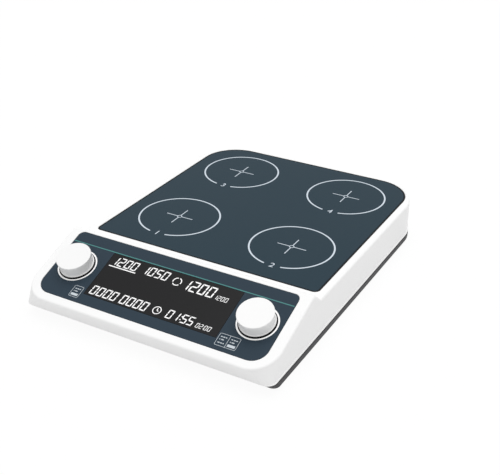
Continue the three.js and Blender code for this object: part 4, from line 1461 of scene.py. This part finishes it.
def white_world(stage):
    """Even white world: plain light on the object, full white where the camera looks past it."""
    world = bpy.data.worlds.new("studio")
    bpy.context.scene.world = world
    tree, chosen = new_studio_tree(world, "OutputWorld")
    for entry, strength in ((1, stage.sky), (2, 1)):
        shade = new_node(tree, "Background", Color=(1, 1, 1, 1), Strength=strength)
        wired(tree, (shade, "Background", chosen, entry))


def linked(name, data):
    """A new object in the scene for a camera or a lamp."""
    made = bpy.data.objects.new(name, data)
    bpy.context.scene.collection.objects.link(made)
    return made


class STIRRER_OT_stage(bpy.types.Operator):
    """Sets up the camera, the pale floor and the plain soft light"""

    bl_idname = "stirrer.stage"
    bl_label = "Stage"

    def execute(self, context):
        stage, scene = settings().stage, bpy.context.scene
        scene.view_settings.view_transform = "Standard"
        data = bpy.data.cameras.new("camera")
        data.sensor_width = SENSOR_WIDTH_MM
        data.lens = stage.lens
        scene.camera = linked("camera", data)
        eye = Vector(stage.eye)
        sight = (Vector(stage.target) - eye).to_track_quat("-Z", "Y")
        scene.camera.location = eye
        scene.camera.rotation_mode = "QUATERNION"
        scene.camera.rotation_quaternion = sight @ Quaternion(UP, stage.roll)
        bm = bmesh.new()
        bmesh.ops.create_grid(bm, x_segments=1, y_segments=1, size=stage.floor_reach)
        floor = new_object(bm, "floor", Matrix.Translation(UP * -stage.floor_drop))
        floor.data.materials.append(floor_material(stage, settings().finishes.floor))
        lamp = bpy.data.lights.new("overhead", "SUN")
        lamp.energy = stage.lamp
        lamp.angle = stage.lamp_spread
        linked("overhead", lamp).rotation_euler = (-stage.lamp_lean, 0, 0)
        white_world(stage)
        return {"FINISHED"}


class STIRRER_PT_pieces(bpy.types.Panel):
    """Lists the steps that build the stirrer"""

    bl_idname = "STIRRER_PT_pieces"
    bl_label = "Magnetic Stirrer"
    bl_space_type = "VIEW_3D"
    bl_region_type = "UI"
    bl_category = "Stirrer"

    def draw(self, context):
        for operator in OPERATORS:
            self.layout.operator(operator.bl_idname)


OPERATORS = (
    STIRRER_OT_stage, STIRRER_OT_housing, STIRRER_OT_tray, STIRRER_OT_plate, STIRRER_OT_console,
    STIRRER_OT_display, STIRRER_OT_knobs, STIRRER_OT_inside,
)
CLASSES = (
    HousingSizes, TraySizes, PlateSizes, PanelSizes, KnobSizes, FigureSizes, Finishes,
    StageSettings, StirrerSettings, *OPERATORS, STIRRER_PT_pieces,
)


def register():
    for cls in CLASSES:
        bpy.utils.register_class(cls)
    bpy.types.Scene.stirrer = bpy.props.PointerProperty(type=StirrerSettings)


def unregister():
    del bpy.types.Scene.stirrer
    for cls in reversed(CLASSES):
        bpy.utils.unregister_class(cls)


def main():
    register()
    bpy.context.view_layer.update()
    for operator in OPERATORS:
        group, name = operator.bl_idname.split(".")
        getattr(getattr(bpy.ops, group), name)()


if __name__ == "__main__":
    main()
